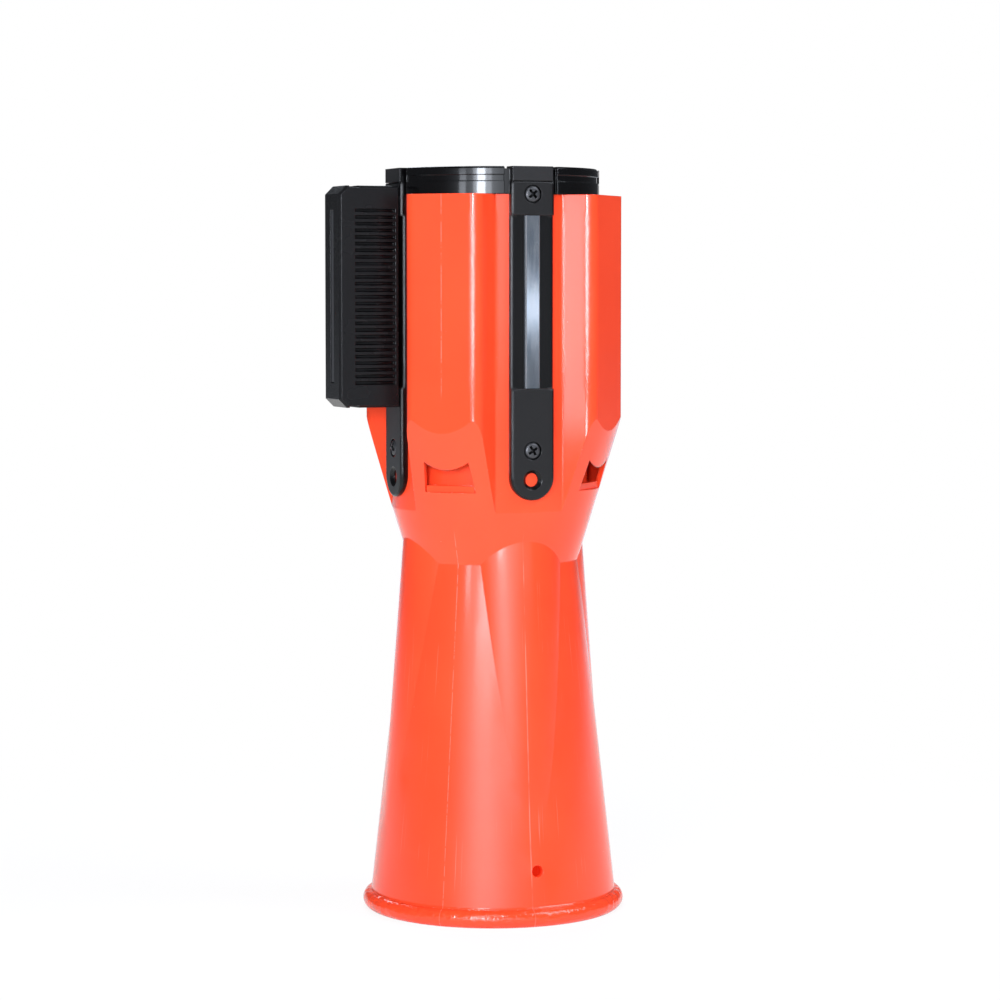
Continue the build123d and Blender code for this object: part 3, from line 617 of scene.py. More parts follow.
def red_marks(finish, zones, edges):
    """Masks of the marks that moulding and use leave on the red plastic, with a painted highlight along
    its edges.
    """
    cloud = finish.noise(size=55.0, detail=3.0)
    turn = finish.maths("ARCTAN2", finish.y, finish.x)
    upright = {0: turn * STROKES_IN_RADIAN, 2: finish.z / STROKE_LENGTH}
    strokes = finish.lumps(finish.node("ShaderNodeCombineXYZ", inputs=upright).outputs[0], detail=1.0)
    rubbed = zones["skirt"] * finish.patches(size=30.0, low=0.5, high=0.65)
    weld = 1 - finish.step(abs(turn - WELD_ANGLE) * SKIRT_RADIUS, *WELD_WIDTH)
    parting = 1 - finish.step(abs(finish.x - finish.y) / sqrt(2), *PARTING_WIDTH)
    return {
        "cloud": cloud,
        "streaks": finish.noise(size=1.6, stretch=(1.0, 1.0, 60.0)),
        "grain": finish.noise(size=0.9, detail=1.0),
        "lumps": finish.noise(size=4.0, detail=3.0) * zones["bead"],
        # Scuffed edges, whitened partly as real wear and partly as a painted highlight along the edges
        "scuffs_and_edge_highlight": edges * finish.patches(size=2.2, low=0.56, high=0.72, detail=4.0),
        "scratches": finish.step(strokes, low=0.68, high=0.73) * rubbed,
        "weld": weld * finish.patches(size=14.0, low=0.35, high=0.6) * zones["skirt"],
        "parting": parting * (1 - zones["flare"]) * finish.patches(size=2.5, low=0.35, high=0.5),
        "dust": finish.specks(size=9.0, share=0.035) * finish.step(cloud, low=0.5, high=0.62),
    }


def red_plastic(finishes):
    """Glossy moulded plastic with soft lobes, a duller skirt, a parting line, scratches, scuffed edges
    that also carry a painted highlight, and a painted glow inside the skirt.
    """
    finish = Finish("red_plastic")
    zones = red_zones(finish)
    sharp, edges = finish.round_edges(finishes.edge_radius)
    soft, _ = finish.round_edges(finishes.lobe_radius)
    marks = red_marks(finish, zones, edges)
    red = tone(finishes.red)
    clear = finish.step(marks["cloud"], low=0.25, high=0.75)
    clean = finish.mix(clear, tone(finishes.red, RED_CLOUD), red)
    inwards = 0 - finish.likeness(finish.facing, finish.place)
    # Painted glow: the skirt's inward faces emit red, standing in for light that comes through the wall
    painted_glow_through = finish.step(inwards, *INWARD_LOOK) * zones["skirt"]
    handling = finishes.skirt_roughness - finishes.red_roughness
    gloss = finishes.red_roughness + (zones["handled"] - zones["bead"]) * handling
    normal = finish.mix_normals(zones["lobes"], sharp, soft)
    finish.set(
        Base_Color=finish.mix(weighted(marks, RED_WHITENING), clean, tone(SCRAPED_RED)),
        Roughness=gloss + weighted(marks, RED_ROUGHENING),
        IOR=PLASTIC_IOR,
        Emission_Color=finish.mix(painted_glow_through, tone(BLACK), red),
        Emission_Strength=PAINTED_GLOW_STRENGTH,
        Normal=finish.bump(weighted(marks, RED_RELIEF), RED_RELIEF_DEPTH, normal),
    )
    return finish.material


# Black plastics: how strongly each mirrors, and the roughness that use adds to its faces
BLACK_POLISH = {
    "cap_plastic": {"shine": 0.45, "dulling": 0.0},
    "bar_plastic": {"shine": 0.4, "dulling": 0.12},
    "clip_plastic": {"shine": 0.25, "dulling": 0.06},
}
# Roughness of polished black plastic, and what its grain and its clouds add
BLACK_ROUGHNESS = 0.06
GRAIN_ROUGHNESS = 0.3
CLOUD_ROUGHNESS = 0.05
# Size of the grain in millimetres, and its depth in metres
GRAIN_SIZE = 0.35
GRAIN_DEPTH = 0.00003
# How far each mark turns the black plastic to its worn colour
BLACK_WEAR = {"rubbed": 0.5, "dust": 0.06}
WORN_BLACK = (0.03, 0.03, 0.032)
# Distances in millimetres from a bar's long edges, outwards, over which a zone starts or ends
BAR_GRAIN_END = (1.3, 0.9)
BAR_RIM_START = (3.2, 2.8)
LUG_GRAIN_END = (0.9, 0.7)
# Distances in millimetres inside the lugs' faces over which the lugs start
LUG_START = (1.5, 1.3)
# Half the height in millimetres over which a bar's face starts above its channel
FACE_START = 0.1
# Grain of the clip: its least, what noise adds, and the reach in metres within which grooves lack it, so
# that they are painted darker as shade
LEAST_GRAIN = 0.3
ADDED_GRAIN = 0.2
CLIP_GROOVE_SHADE_REACH = 0.003


def black_plastic(finishes, name, grain_of, rims_of=None):
    """Black moulded plastic, polished, or grained as far as grain_of the finish is 1."""
    finish = Finish(name)
    polish = BLACK_POLISH[name]
    grained = grain_of(finish)
    normal, edges = finish.round_edges(finishes.edge_radius)
    if rims_of:
        rounder, _ = finish.round_edges(finishes.bar_edge_radius)
        normal = finish.mix_normals(rims_of(finish), normal, rounder)
    cloud = finish.noise(size=18.0, detail=3.0)
    marks = {
        "rubbed": edges * finish.patches(size=8.0, low=0.35, high=0.7, detail=3.0),
        "dust": finish.specks(size=6.0, share=0.04),
    }
    # Grained faces take the lighter grained black; where a grain mask leaves out grooves, this paints
    # shade into them
    clean = finish.mix(grained, tone(finishes.black), tone(finishes.grained_black))
    dulling = (grained * GRAIN_ROUGHNESS + polish["dulling"]) * (1 - edges)
    finish.set(
        Base_Color=finish.mix(weighted(marks, BLACK_WEAR), clean, tone(WORN_BLACK)),
        Roughness=BLACK_ROUGHNESS + dulling + cloud * CLOUD_ROUGHNESS,
        IOR=PLASTIC_IOR,
        Specular_IOR_Level=polish["shine"],
        Normal=finish.bump(finish.noise(GRAIN_SIZE) * grained, GRAIN_DEPTH, normal),
    )
    return finish.material


def beside_bar_edge(finish, distances):
    """Mask of what lies beyond a pair of distances from a bar's long edges, towards them."""
    start, end = distances
    return finish.step(finish.side, BAR_HALF_WIDTH - start, BAR_HALF_WIDTH - end)


def bar_grain(finish):
    """Mask of the bars' front faces over and under their polished channel."""
    face, floor = -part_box("receiver_front")[0].y, -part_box("keeper_front")[0].y
    middle = (face + floor) / 2 * MILLIMETRES
    raised = finish.step(finish.reach, middle - FACE_START, middle + FACE_START)
    return raised * (1 - beside_bar_edge(finish, BAR_GRAIN_END))


def bar_rims(finish):
    """Mask of the bars' long edges."""
    return beside_bar_edge(finish, BAR_RIM_START)


def lug_grain(finish):
    """Mask of the cap's lugs, which stand over the bars."""
    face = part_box("top_cap")[1].x * MILLIMETRES
    start, end = LUG_START
    lugs = finish.step(finish.reach, face - start, face - end)
    return (1 - beside_bar_edge(finish, LUG_GRAIN_END)) * lugs


def even_grain_and_groove_shade(finish):
    """Light grain on all open faces, a little uneven; grooves and recesses get none, which paints shade
    into them with the darker polished black.
    """
    return (finish.noise(size=25.0) * ADDED_GRAIN + LEAST_GRAIN) * finish.open_face(CLIP_GROOVE_SHADE_REACH)


# Steel strips: the share of their colour that dull blotches keep, the colour of their sheared edges,
# their least roughness and what each mark adds to it
KEEPER_BLOTCH = (0.8, 0.84, 0.88)
SHEARED_STEEL = (0.12, 0.13, 0.14)
KEEPER_ROUGHNESS = 0.05
KEEPER_ROUGHENING = {"blotches": 0.04, "lines": 0.03, "sheared": 0.4}
KEEPER_RELIEF_DEPTH = 0.000008
# Cosines of the turn away from X or Y between which a face of a strip counts as a plated one
PLATED_TURN = (0.85, 0.95)


def keeper_steel(finishes):
    """Zinc-plated steel strip, mottled, with fine lines along it and dull sheared edges."""
    finish = Finish("keeper_steel")
    along_x, along_y, _ = finish.split(finish.facing)
    squareness = finish.maths("MAXIMUM", abs(along_x), abs(along_y))
    marks = {
        "blotches": finish.noise(size=3.0, detail=4.0, stretch=(1.0, 1.0, 4.0)),
        "lines": finish.noise(size=0.22, stretch=(1.0, 1.0, 90.0)),
        "sheared": 1 - finish.step(squareness, *PLATED_TURN),
    }
    bright = finish.step(marks["blotches"], low=0.3, high=0.7)
    plated = finish.mix(bright, tone(finishes.keeper, KEEPER_BLOTCH), tone(finishes.keeper))
    finish.set(
        Base_Color=finish.mix(marks["sheared"], plated, tone(SHEARED_STEEL)),
        Metallic=1 - marks["sheared"],
        Roughness=KEEPER_ROUGHNESS + weighted(marks, KEEPER_ROUGHENING),
        Normal=finish.bump(marks["lines"], KEEPER_RELIEF_DEPTH),
    )
    return finish.material


# Inner pieces: their colours, and their roughness before clouds add to it
SPRING_BLUE = (0.22, 0.25, 0.33)
BUSH_CREAM = (0.7, 0.68, 0.6)
MAGNET_GREY = (0.03, 0.03, 0.033)
ZINC_ROUGHNESS = 0.28
SPRING_ROUGHNESS = 0.3
BUSH_ROUGHNESS = 0.4
MAGNET_ROUGHNESS = 0.55
# Share of its colour that a clouded inner piece keeps, and the roughness that its clouds add
STEEL_CLOUD = (0.8, 0.8, 0.8)
STEEL_CLOUD_ROUGHNESS = 0.12
STEEL_RELIEF_DEPTH = 0.000006
MOULDING_CLOUD = (0.85, 0.85, 0.85)
MOULDING_CLOUD_ROUGHNESS = 0.15
MOULDING_RELIEF_DEPTH = 0.00002


def plated_steel(name, colour, roughness):
    """Plain plated or blued steel with faint turning lines."""
    finish = Finish(name)
    cloud = finish.noise(size=4.0, detail=3.0)
    lines = finish.noise(size=0.3, stretch=(60.0, 60.0, 1.0))
    finish.set(
        Base_Color=finish.mix(cloud, tone(colour, STEEL_CLOUD), tone(colour)),
        Metallic=1.0,
        Roughness=roughness + cloud * STEEL_CLOUD_ROUGHNESS,
        Normal=finish.bump(lines, STEEL_RELIEF_DEPTH),
    )
    return finish.material


def plain_moulding(name, colour, roughness):
    """Matt moulded or sintered material with a light grain."""
    finish = Finish(name)
    cloud = finish.noise(size=3.0, detail=3.0)
    finish.set(
        Base_Color=finish.mix(cloud, tone(colour, MOULDING_CLOUD), tone(colour)),
        Roughness=roughness + cloud * MOULDING_CLOUD_ROUGHNESS,
        Normal=finish.bump(finish.noise(size=0.4), MOULDING_RELIEF_DEPTH),
    )
    return finish.material


# Screws: colours of their oxide, of rubbed steel and of the painted shade at the bottom of a recess, and
# metres of rounding on their edges and of the reach within which a recess is painted dark as shade
SCREW_OXIDE = (0.07, 0.07, 0.074)
SCREW_RUBBED = (0.3, 0.3, 0.31)
SCREW_RECESS_SHADE = (0.002, 0.002, 0.002)
SCREW_EDGE_RADIUS = 0.0002
SCREW_SHADE_REACH = 0.002
SCREW_METALLIC = 0.75
SCREW_ROUGHNESS = 0.34
SCREW_CLOUD_ROUGHNESS = 0.14
SCREW_RELIEF_DEPTH = 0.00001


def screw_steel():
    """Black oxide on steel, rubbed bright on its rim, with painted shade in its cross recess."""
    finish = Finish("screw_steel")
    normal, edges = finish.round_edges(SCREW_EDGE_RADIUS)
    rubbed = edges * finish.patches(size=0.8, low=0.4, high=0.65, detail=3.0)
    cloud = finish.noise(size=1.2, detail=3.0)
    steel = finish.mix(rubbed, tone(SCREW_OXIDE), tone(SCREW_RUBBED))
    finish.set(
        # Painted shade: the cross recess is coloured near black where ambient occlusion finds it closed in
        Base_Color=finish.mix(finish.open_face(SCREW_SHADE_REACH), tone(SCREW_RECESS_SHADE), steel),
        Metallic=SCREW_METALLIC,
        Roughness=SCREW_ROUGHNESS + cloud * SCREW_CLOUD_ROUGHNESS,
        Normal=finish.bump(cloud, SCREW_RELIEF_DEPTH, normal),
    )
    return finish.material


# Belt: how far the ribs wave, how much the fuzz of its yarns shows in its colour and its relief,
# and the share of its colour that the gaps between the yarns keep
RIB_WAVE = 0.8
FUZZ_SHARE = 0.3
BELT_GAP = (0.45, 0.45, 0.45)
BELT_ROUGHNESS = 0.62
BELT_ROUGHENING = {"fuzz": 0.2, "selvage": -0.1}
BELT_RELIEF_DEPTH = 0.0001
SHEEN = 0.3
SHEEN_ROUGHNESS = 0.5
# Distances in millimetres from the belt's edges over which its selvage starts
SELVAGE_START = (2.4, 2.0)


def webbing(finishes, belt, name, layer):
    """Woven polyester belt, with ribs across it and a plain selvage along each edge."""
    finish = Finish(name)
    low, high = (corner.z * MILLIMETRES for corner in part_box("belt_run"))
    length = finish.x
    if layer:
        uv = finish.node("ShaderNodeUVMap", {"uv_map": layer})
        length = finish.split(uv.outputs[0])[0] * MILLIMETRES
    frequency = tau / (belt.rib_pitch * MILLIMETRES)
    across = finish.z * frequency
    wave = finish.maths("SINE", across / 2) * RIB_WAVE
    ribs = finish.maths("SINE", length * frequency + wave)
    weave = ribs * finish.maths("SINE", across) / 2 + 0.5
    start, end = SELVAGE_START
    half = (high - low) / 2
    marks = {
        "fuzz": finish.noise(size=0.6, detail=3.0),
        "selvage": finish.step(abs(finish.z - (low + high) / 2), half - start, half - end),
    }
    fuzz = marks["fuzz"] * FUZZ_SHARE
    shade = weave * (1 - FUZZ_SHARE) + fuzz
    finish.set(
        Base_Color=finish.mix(shade, tone(finishes.belt, BELT_GAP), tone(finishes.belt)),
        Roughness=BELT_ROUGHNESS + weighted(marks, BELT_ROUGHENING),
        Sheen_Weight=SHEEN,
        Sheen_Roughness=SHEEN_ROUGHNESS,
        Normal=finish.bump(weave + fuzz, BELT_RELIEF_DEPTH),
    )
    return finish.material


def dress(nodes, material):
    """Gives CAD nodes a material in place of their packed one."""
    for name in nodes:
        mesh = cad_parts[name].data
        mesh.materials.clear()
        mesh.materials.append(material)


def new_object(name, mesh, material, body):
    """Links a new piece that rides on a body, or on none if body is None."""
    mesh.materials.append(material)
    piece = bpy.data.objects.new(name, mesh)
    bpy.context.scene.collection.objects.link(piece)
    if body:
        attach(piece, body)
    return piece


def mesh_from(shape, name):
    """Mesh of a bmesh, which is freed."""
    mesh = bpy.data.meshes.new(name)
    shape.to_mesh(mesh)
    shape.free()
    return mesh


def smooth(mesh, angle):
    """Shades a mesh smooth, with sharp edges where its faces turn by more than an angle."""
    mesh.shade_smooth()
    mesh.set_sharp_from_angle(angle=angle)


def turned_mesh(name, profile, steps):
    """Closed mesh turned about Z from a profile of (radius, height) that starts and ends on the axis."""
    shape = bmesh.new()
    rings = []
    for radius, height in profile:
        angles = [tau * step / steps for step in range(steps if radius else 1)]
        rings.append([shape.verts.new((radius * cos(a), radius * sin(a), height)) for a in angles])
    for lower, upper in zip(rings, rings[1:]):
        for step in range(steps):
            after = (step + 1) % steps
            corners = ((lower, step), (lower, after), (upper, after), (upper, step))
            vertices = [ring[number % len(ring)] for ring, number in corners]
            shape.faces.new(list(dict.fromkeys(vertices)))
    bmesh.ops.recalc_face_normals(shape, faces=shape.faces)
    return mesh_from(shape, name)


# Pan-head screw: shares of its head's height, of its head's radius and of its shank's radius
HEAD_RIM = 0.4
HEAD_CHAMFER = 0.06
HEAD_SEAT = 0.95
SHANK_TIP = 0.5
CROSS_TOP = 1.2
CROSS_DEPTH = 0.95
# Width of the cross at its bottom, as a share of its width at its top
CROSS_TAPER = 0.55
# Exponent that makes the head's dome flatter than a ball
DOME_POWER = 0.5
DOME_STEP = 10
SCREW_SIDES = 48
SCREW_SHARP_EDGE = radians(35)


def cross_cutter(name, reach, width, top, depth):
    """Tapered cross, wider at its top, that cuts a screw's recess."""
    shape = bmesh.new()
    half = width / 2
    arm = ((reach, half), (half, half), (half, reach))
    quarters = ((1, 0), (0, 1), (-1, 0), (0, -1))
    outline = [(x * c - y * s, x * s + y * c) for c, s in quarters for x, y in arm]
    rings = []
    for share, height in ((1.0, top), (CROSS_TAPER, top - depth)):
        rings.append([shape.verts.new((x * share, y * share, height)) for x, y in outline])
    shape.faces.new(rings[0])
    shape.faces.new(list(reversed(rings[1])))
    count = len(outline)
    for corner in range(count):
        after = (corner + 1) % count
        shape.faces.new((rings[0][corner], rings[1][corner], rings[1][after], rings[0][after]))
    bmesh.ops.recalc_face_normals(shape, faces=shape.faces)
    return mesh_from(shape, name)


def cut_mesh(name, mesh, cutter):
    """The mesh that is left after a cutter's volume is taken away."""
    scene = bpy.context.scene
    body = bpy.data.objects.new(name, mesh)
    tool = bpy.data.objects.new(name + "_tool", cutter)
    scene.collection.objects.link(body)
    scene.collection.objects.link(tool)
    boolean = body.modifiers.new("recess", "BOOLEAN")
    boolean.operation = "DIFFERENCE"
    boolean.solver = "EXACT"
    boolean.object = tool
    result = bpy.data.meshes.new_from_object(body.evaluated_get(bpy.context.evaluated_depsgraph_get()))
    for spare in (body, tool):
        bpy.data.objects.remove(spare)
    return result


def pan_screw(screws):
    """Mesh of one cross-recessed pan-head screw whose seat is at Z = 0."""
    radius, height = screws.head_radius, screws.head_height
    shank, end = screws.shank_radius, -screws.shank_length
    rim = HEAD_RIM * height
    angles = [radians(angle) for angle in range(0, 90, DOME_STEP)]
    profile = [
        (0, end),
        (SHANK_TIP * shank, end),
        (shank, end + shank),
        (shank, 0),
        (HEAD_SEAT * radius, 0),
        (radius, HEAD_CHAMFER * height),
        *((radius * cos(angle) ** DOME_POWER, rim + (height - rim) * sin(angle)) for angle in angles),
        (0, height),
    ]
    head = turned_mesh("screw_blank", profile, SCREW_SIDES)
    cutter = cross_cutter(
        "screw_cross",
        screws.cross_reach,
        screws.cross_width,
        CROSS_TOP * height,
        CROSS_DEPTH * height,
    )
    return cut_mesh("screw", head, cutter)


class BARRIER_OT_red_mouldings(bpy.types.Operator):
    """Gives the housing and the cone seat their glossy red finish"""

    bl_idname = "barrier.red_mouldings"
    bl_label = "Red mouldings"

    def execute(self, context):
        dress(RED_NODES, red_plastic(context.scene.barrier_finishes))
        return {"FINISHED"}


class BARRIER_OT_black_pieces(bpy.types.Operator):
    """Gives the cap, the bars, the clip and the cassette their black finishes"""

    bl_idname = "barrier.black_pieces"
    bl_label = "Black pieces"

    def execute(self, context):
        finishes = context.scene.barrier_finishes
        dress(("top_cap",), black_plastic(finishes, "cap_plastic", lug_grain))
        dress(BAR_NODES, black_plastic(finishes, "bar_plastic", bar_grain, bar_rims))
        dress(CLIP_NODES, black_plastic(finishes, "clip_plastic", even_grain_and_groove_shade))
        return {"FINISHED"}


class BARRIER_OT_keepers(bpy.types.Operator):
    """Gives the steel strips of the receivers their plated finish"""

    bl_idname = "barrier.keepers"
    bl_label = "Keepers"

    def execute(self, context):
        dress(KEEPER_NODES, keeper_steel(context.scene.barrier_finishes))
        return {"FINISHED"}


class BARRIER_OT_inner_metal(bpy.types.Operator):
    """Finishes the axle, the pillars, the spring, the bushes and the magnet"""

    bl_idname = "barrier.inner_metal"
    bl_label = "Inner metal"

    def execute(self, context):
        zinc = context.scene.barrier_finishes.zinc
        dress(ZINC_NODES, plated_steel("zinc_steel", zinc, ZINC_ROUGHNESS))
        dress(("power_spring",), plated_steel("spring_steel", SPRING_BLUE, SPRING_ROUGHNESS))
        dress(BUSH_NODES, plain_moulding("bush_plastic", BUSH_CREAM, BUSH_ROUGHNESS))
        dress(("clip_magnet",), plain_moulding("magnet", MAGNET_GREY, MAGNET_ROUGHNESS))
        return {"FINISHED"}


class BARRIER_OT_screws(bpy.types.Operator):
    """Makes the pan-head screws at both ends of the bars"""

    bl_idname = "barrier.screws"
    bl_label = "Screws"

    def execute(self, context):
        screws = context.scene.barrier_screws
        blank = pan_screw(screws)
        material = screw_steel()
        for group, node in enumerate(("cap_screws", "receiver_screws")):
            low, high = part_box(node)
            height = (low.z + high.z) / 2
            seat = high.x - screws.head_height
            shape = bmesh.new()
            for number, angle in enumerate(BAR_ANGLES):
                single = blank.copy()
                turn = screws.cross_turn * (1 + number + 2 * group)
                single.transform(
                    Matrix.Translation((0, 0, height))
                    @ Matrix.Rotation(radians(angle), 4, "Z")
                    @ Matrix.Translation((seat, 0, 0))
                    @ Matrix.Rotation(pi / 2, 4, "Y")
                    @ Matrix.Rotation(turn, 4, "Z")
                )
                shape.from_mesh(single)
                bpy.data.meshes.remove(single)
            mesh = mesh_from(shape, node + "_detailed")
            smooth(mesh, SCREW_SHARP_EDGE)
            piece = new_object(node + "_detailed", mesh, material, "housing")
            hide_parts(node)
        bpy.data.meshes.remove(blank)
        return {"FINISHED"}


STRIP_SHARP_EDGE = radians(40)


def strip_mesh(name, line, thickness, low, high):
    """Closed mesh of an upright strip along a line of (x, y) points, with its length as its UV."""
    shape = bmesh.new()
    layer = shape.loops.layers.uv.new(ALONG)
    points = [Vector(point) for point in line]
    run = 0.0
    lengths = {}
    rings = []
    for index, point in enumerate(points):
        before = points[max(index - 1, 0)]
        after = points[min(index + 1, len(points) - 1)]
        side = (after - before).normalized().orthogonal() * (thickness / 2)
        run += (point - before).length
        corners = ((point - side, low), (point + side, low), (point + side, high), (point - side, high))
        ring = [shape.verts.new((place.x, place.y, height)) for place, height in corners]
        lengths.update((vertex, run) for vertex in ring)
        rings.append(ring)
    for ring, following in zip(rings, rings[1:]):
        for corner in range(len(ring)):
            after = (corner + 1) % len(ring)
            shape.faces.new((ring[corner], ring[after], following[after], following[corner]))
    shape.faces.new(rings[0])
    shape.faces.new(list(reversed(rings[-1])))
    bmesh.ops.recalc_face_normals(shape, faces=shape.faces)
    for face in shape.faces:
        for loop in face.loops:
            loop[layer].uv = (lengths[loop.vert], loop.vert.co.z)
    mesh = mesh_from(shape, name)
    smooth(mesh, STRIP_SHARP_EDGE)
    return mesh


class BARRIER_OT_belt(bpy.types.Operator):
    """Makes the woven belt: the turns on the spool, the feed to the guide and the run to the clip"""

    bl_idname = "barrier.belt"
    bl_label = "Belt"

    def execute(self, context):
        finishes, belt = context.scene.barrier_finishes, context.scene.barrier_belt
        wound = webbing(finishes, belt, "belt_webbing", ALONG)
        drawn = webbing(finishes, belt, "belt_webbing_drawn", "")
        self.roll(belt, wound)
        self.feed(belt, wound)
        self.run(belt, drawn)
        return {"FINISHED"}

    def roll(self, belt, material):
        low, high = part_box("belt_roll")
        feed_low, feed_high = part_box("belt_feed")
        outer = high.x - belt.thickness / 2
        inner = outer - belt.turns * (belt.thickness + belt.slack)
        leaving = atan2(feed_low.y, feed_high.x)
        count = belt.turns * belt.steps
        line = []
        for step in range(count + 1):
            share = step / count
            radius = inner + (outer - inner) * share
            angle = leaving + (1 - share) * belt.turns * tau
            line.append((radius * cos(angle), radius * sin(angle)))
        mesh = strip_mesh("belt_turns", line, belt.thickness, low.z, high.z)
        piece = new_object("belt_turns", mesh, material, "spool")
        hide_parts("belt_roll")

    def feed(self, belt, material):
        low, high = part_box("belt_feed")
        along = Vector((low.x - high.x, high.y - low.y)).normalized()
        inset = Vector((along.y, -along.x)) * (belt.thickness / 2)
        start = (high.x - inset.x, low.y - inset.y)
        end = (low.x + inset.x, high.y + inset.y)
        mesh = strip_mesh("belt_lead", [start, end], belt.thickness, low.z, high.z)
        piece = new_object("belt_lead", mesh, material, "housing")
        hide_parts("belt_feed")

    def run(self, belt, material):
        low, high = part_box("belt_run")
        radius = high.y - belt.thickness / 2
        pin = low.x + high.y
        outlet_face, clip_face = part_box("belt_outlet")[0].x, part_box("belt_clip")[1].x
        start = outlet_face + belt.grip
        end = clip_face - belt.grip / 2
        line = [(high.x, 0.0)]
        line += [(start + (end - start) * step / belt.spans, 0.0) for step in range(belt.spans + 1)]
        line += [
            (pin + radius * cos(tau * step / belt.steps), radius * sin(tau * step / belt.steps))
            for step in range(belt.steps)
        ]
        mesh = strip_mesh("belt_strip", line, belt.thickness, low.z, high.z)
        piece = new_object("belt_strip", mesh, material, None)
        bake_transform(piece)
        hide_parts("belt_run")


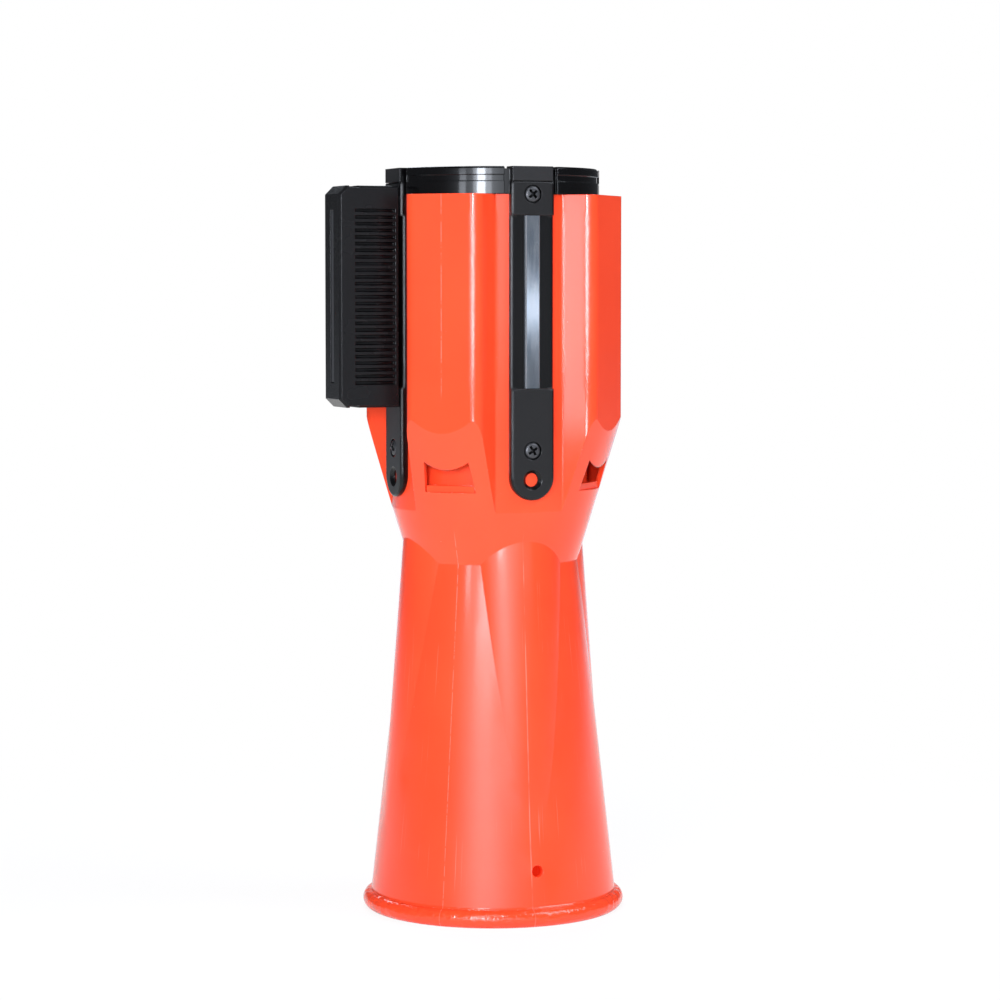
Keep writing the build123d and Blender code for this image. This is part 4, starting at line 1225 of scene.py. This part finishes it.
class BARRIER_OT_stage(bpy.types.Operator):
    """Sets the floor, the surround, the lights and the camera"""

    bl_idname = "barrier.stage"
    bl_label = "Stage"

    def execute(self, context):
        stage = context.scene.barrier_stage
        context.scene.view_settings.view_transform = "Standard"
        self.surround(stage, context.scene)
        self.floor(stage)
        for lamp in LAMPS:
            self.lamp(stage, *lamp)
        self.camera(stage, context.scene)
        return {"FINISHED"}

    def towards(self, stage, turn):
        """Level direction from the axis, at an angle in degrees to the right of the camera."""
        angle = radians(turn) - stage.azimuth
        return Vector((sin(angle), -cos(angle), 0.0))

    def surround(self, stage, scene):
        """Dark studio with a wall that glows beside the camera, and a white backdrop."""
        world = bpy.data.worlds.new("studio")
        world.use_nodes = True
        nodes = NodeTree(world.node_tree)
        direction = nodes.node("ShaderNodeTexCoord").outputs["Generated"]
        level = nodes.vector_maths("MULTIPLY", direction, (1.0, 1.0, 0.0)).outputs[0]
        level = nodes.vector_maths("NORMALIZE", level).outputs[0]
        rise = nodes.split(direction)[2]
        glow = 0.0
        for turn, sharpness, radiance, start in GLOWS:
            share = (nodes.likeness(level, self.towards(stage, turn)) + 1) / 2
            glow = share**sharpness * radiance * nodes.step(rise, start, start + GLOW_RISE) + glow
        studio = glow * (1 - nodes.step(rise, *GLOW_END)) + stage.surround
        by_camera, mirrored = nodes.rays()
        behind = nodes.step(nodes.likeness(direction, -self.towards(stage, 0)), *BACKDROP_EDGE)
        seen = nodes.maths("MAXIMUM", by_camera, mirrored * behind)
        background = world.node_tree.nodes["Background"]
        nodes.feed(background.inputs["Color"], nodes.mix(seen, tone(COOL), tone(WHITE)))
        nodes.feed(background.inputs["Strength"], studio + seen * (1 - studio))
        scene.world = world

    def floor(self, stage):
        """Round white floor."""
        shape = bmesh.new()
        bmesh.ops.create_circle(shape, cap_ends=True, segments=FLOOR_SIDES, radius=stage.floor_radius)
        mesh = mesh_from(shape, "floor")
        mesh.materials.append(self.floor_paint(stage))
        floor = bpy.data.objects.new("floor", mesh)
        bpy.context.scene.collection.objects.link(floor)

    def floor_paint(self, stage):
        """White that the camera and nearby reflections see, over a matt floor that keeps the shadow."""
        material = bpy.data.materials.new("floor")
        material.use_nodes = True
        nodes = NodeTree(material.node_tree)
        matt = nodes.node("ShaderNodeBsdfDiffuse", inputs={"Color": tone(FLOOR_GREY)})
        white = nodes.node("ShaderNodeEmission")
        place = nodes.node("ShaderNodeTexCoord").outputs["Object"]
        distance = Wire(nodes, nodes.vector_maths("LENGTH", place).outputs["Value"])
        lit = 1 - nodes.step(distance, stage.lit_reach / 2, stage.lit_reach)
        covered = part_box("housing")[1].x - stage.bead_width
        uncovered = nodes.step(distance, covered - stage.bead_width / 2, covered)
        by_camera, mirrored = nodes.rays()
        seen = nodes.maths("MAXIMUM", by_camera, mirrored * lit) * uncovered
        away = nodes.step(distance, stage.shadow_reach / 3, stage.shadow_reach)
        share = stage.floor_white + away * (1 - stage.floor_white)
        shader = nodes.node(
            "ShaderNodeMixShader",
            inputs={0: seen * share, 1: matt.outputs[0], 2: white.outputs[0]},
        )
        output = material.node_tree.nodes["Material Output"]
        nodes.feed(output.inputs["Surface"], shader.outputs[0])
        return material

    def lamp(self, stage, name, turn, distance, height, size, radiance):
        """Soft box of a radiance that faces the barrier."""
        light = bpy.data.lights.new(name, "AREA")
        light.shape = "RECTANGLE"
        light.color = COOL
        light.size, light.size_y = size
        light.energy = radiance * pi * size[0] * size[1]
        lamp = bpy.data.objects.new(name, light)
        lamp.location = self.towards(stage, turn) * distance + Vector((0, 0, height))
        facing = Vector((0, 0, stage.aim_height)) - lamp.location
        lamp.rotation_euler = facing.to_track_quat("-Z", "Y").to_euler()
        lamp.visible_camera = False
        bpy.context.scene.collection.objects.link(lamp)

    def camera(self, stage, scene):
        """Camera at the photograph's place."""
        data = bpy.data.cameras.new("camera")
        data.lens = stage.lens
        data.sensor_width = SENSOR_WIDTH
        camera = bpy.data.objects.new("camera", data)
        camera.location = self.towards(stage, 0) * stage.distance + Vector((0, 0, stage.eye_height))
        aim = self.towards(stage, 90) * stage.aim_side + Vector((0, 0, stage.aim_height))
        camera.rotation_euler = (aim - camera.location).to_track_quat("-Z", "Y").to_euler()
        scene.collection.objects.link(camera)
        scene.camera = camera


class BARRIER_PT_panel(bpy.types.Panel):
    """Lists the barrier's steps and their sizes and colours"""

    bl_idname = "BARRIER_PT_panel"
    bl_label = "Belt barrier"
    bl_space_type = "VIEW_3D"
    bl_region_type = "UI"
    bl_category = "Barrier"

    def draw(self, context):
        layout = self.layout
        for group in GROUPS:
            settings = getattr(context.scene, group)
            box = layout.box()
            for key in type(settings).__annotations__:
                box.prop(settings, key)
        for operator in OPERATORS:
            layout.operator(operator.bl_idname)


GROUPS = {
    "barrier_finishes": BarrierFinishes,
    "barrier_screws": BarrierScrews,
    "barrier_belt": BarrierBelt,
    "barrier_stage": BarrierStage,
}
OPERATORS = (
    BARRIER_OT_red_mouldings,
    BARRIER_OT_black_pieces,
    BARRIER_OT_keepers,
    BARRIER_OT_inner_metal,
    BARRIER_OT_screws,
    BARRIER_OT_belt,
    BARRIER_OT_stage,
)
CLASSES = (*GROUPS.values(), *OPERATORS, BARRIER_PT_panel)


def register():
    for item in CLASSES:
        bpy.utils.register_class(item)
    for name, group in GROUPS.items():
        setattr(bpy.types.Scene, name, PointerProperty(type=group))


def unregister():
    for name in GROUPS:
        delattr(bpy.types.Scene, name)
    for item in reversed(CLASSES):
        bpy.utils.unregister_class(item)


def main():
    register()
    bpy.ops.barrier.red_mouldings()
    bpy.ops.barrier.black_pieces()
    bpy.ops.barrier.keepers()
    bpy.ops.barrier.inner_metal()
    bpy.ops.barrier.screws()
    bpy.ops.barrier.belt()
    bpy.ops.barrier.stage()


if __name__ == "__main__":
    main()
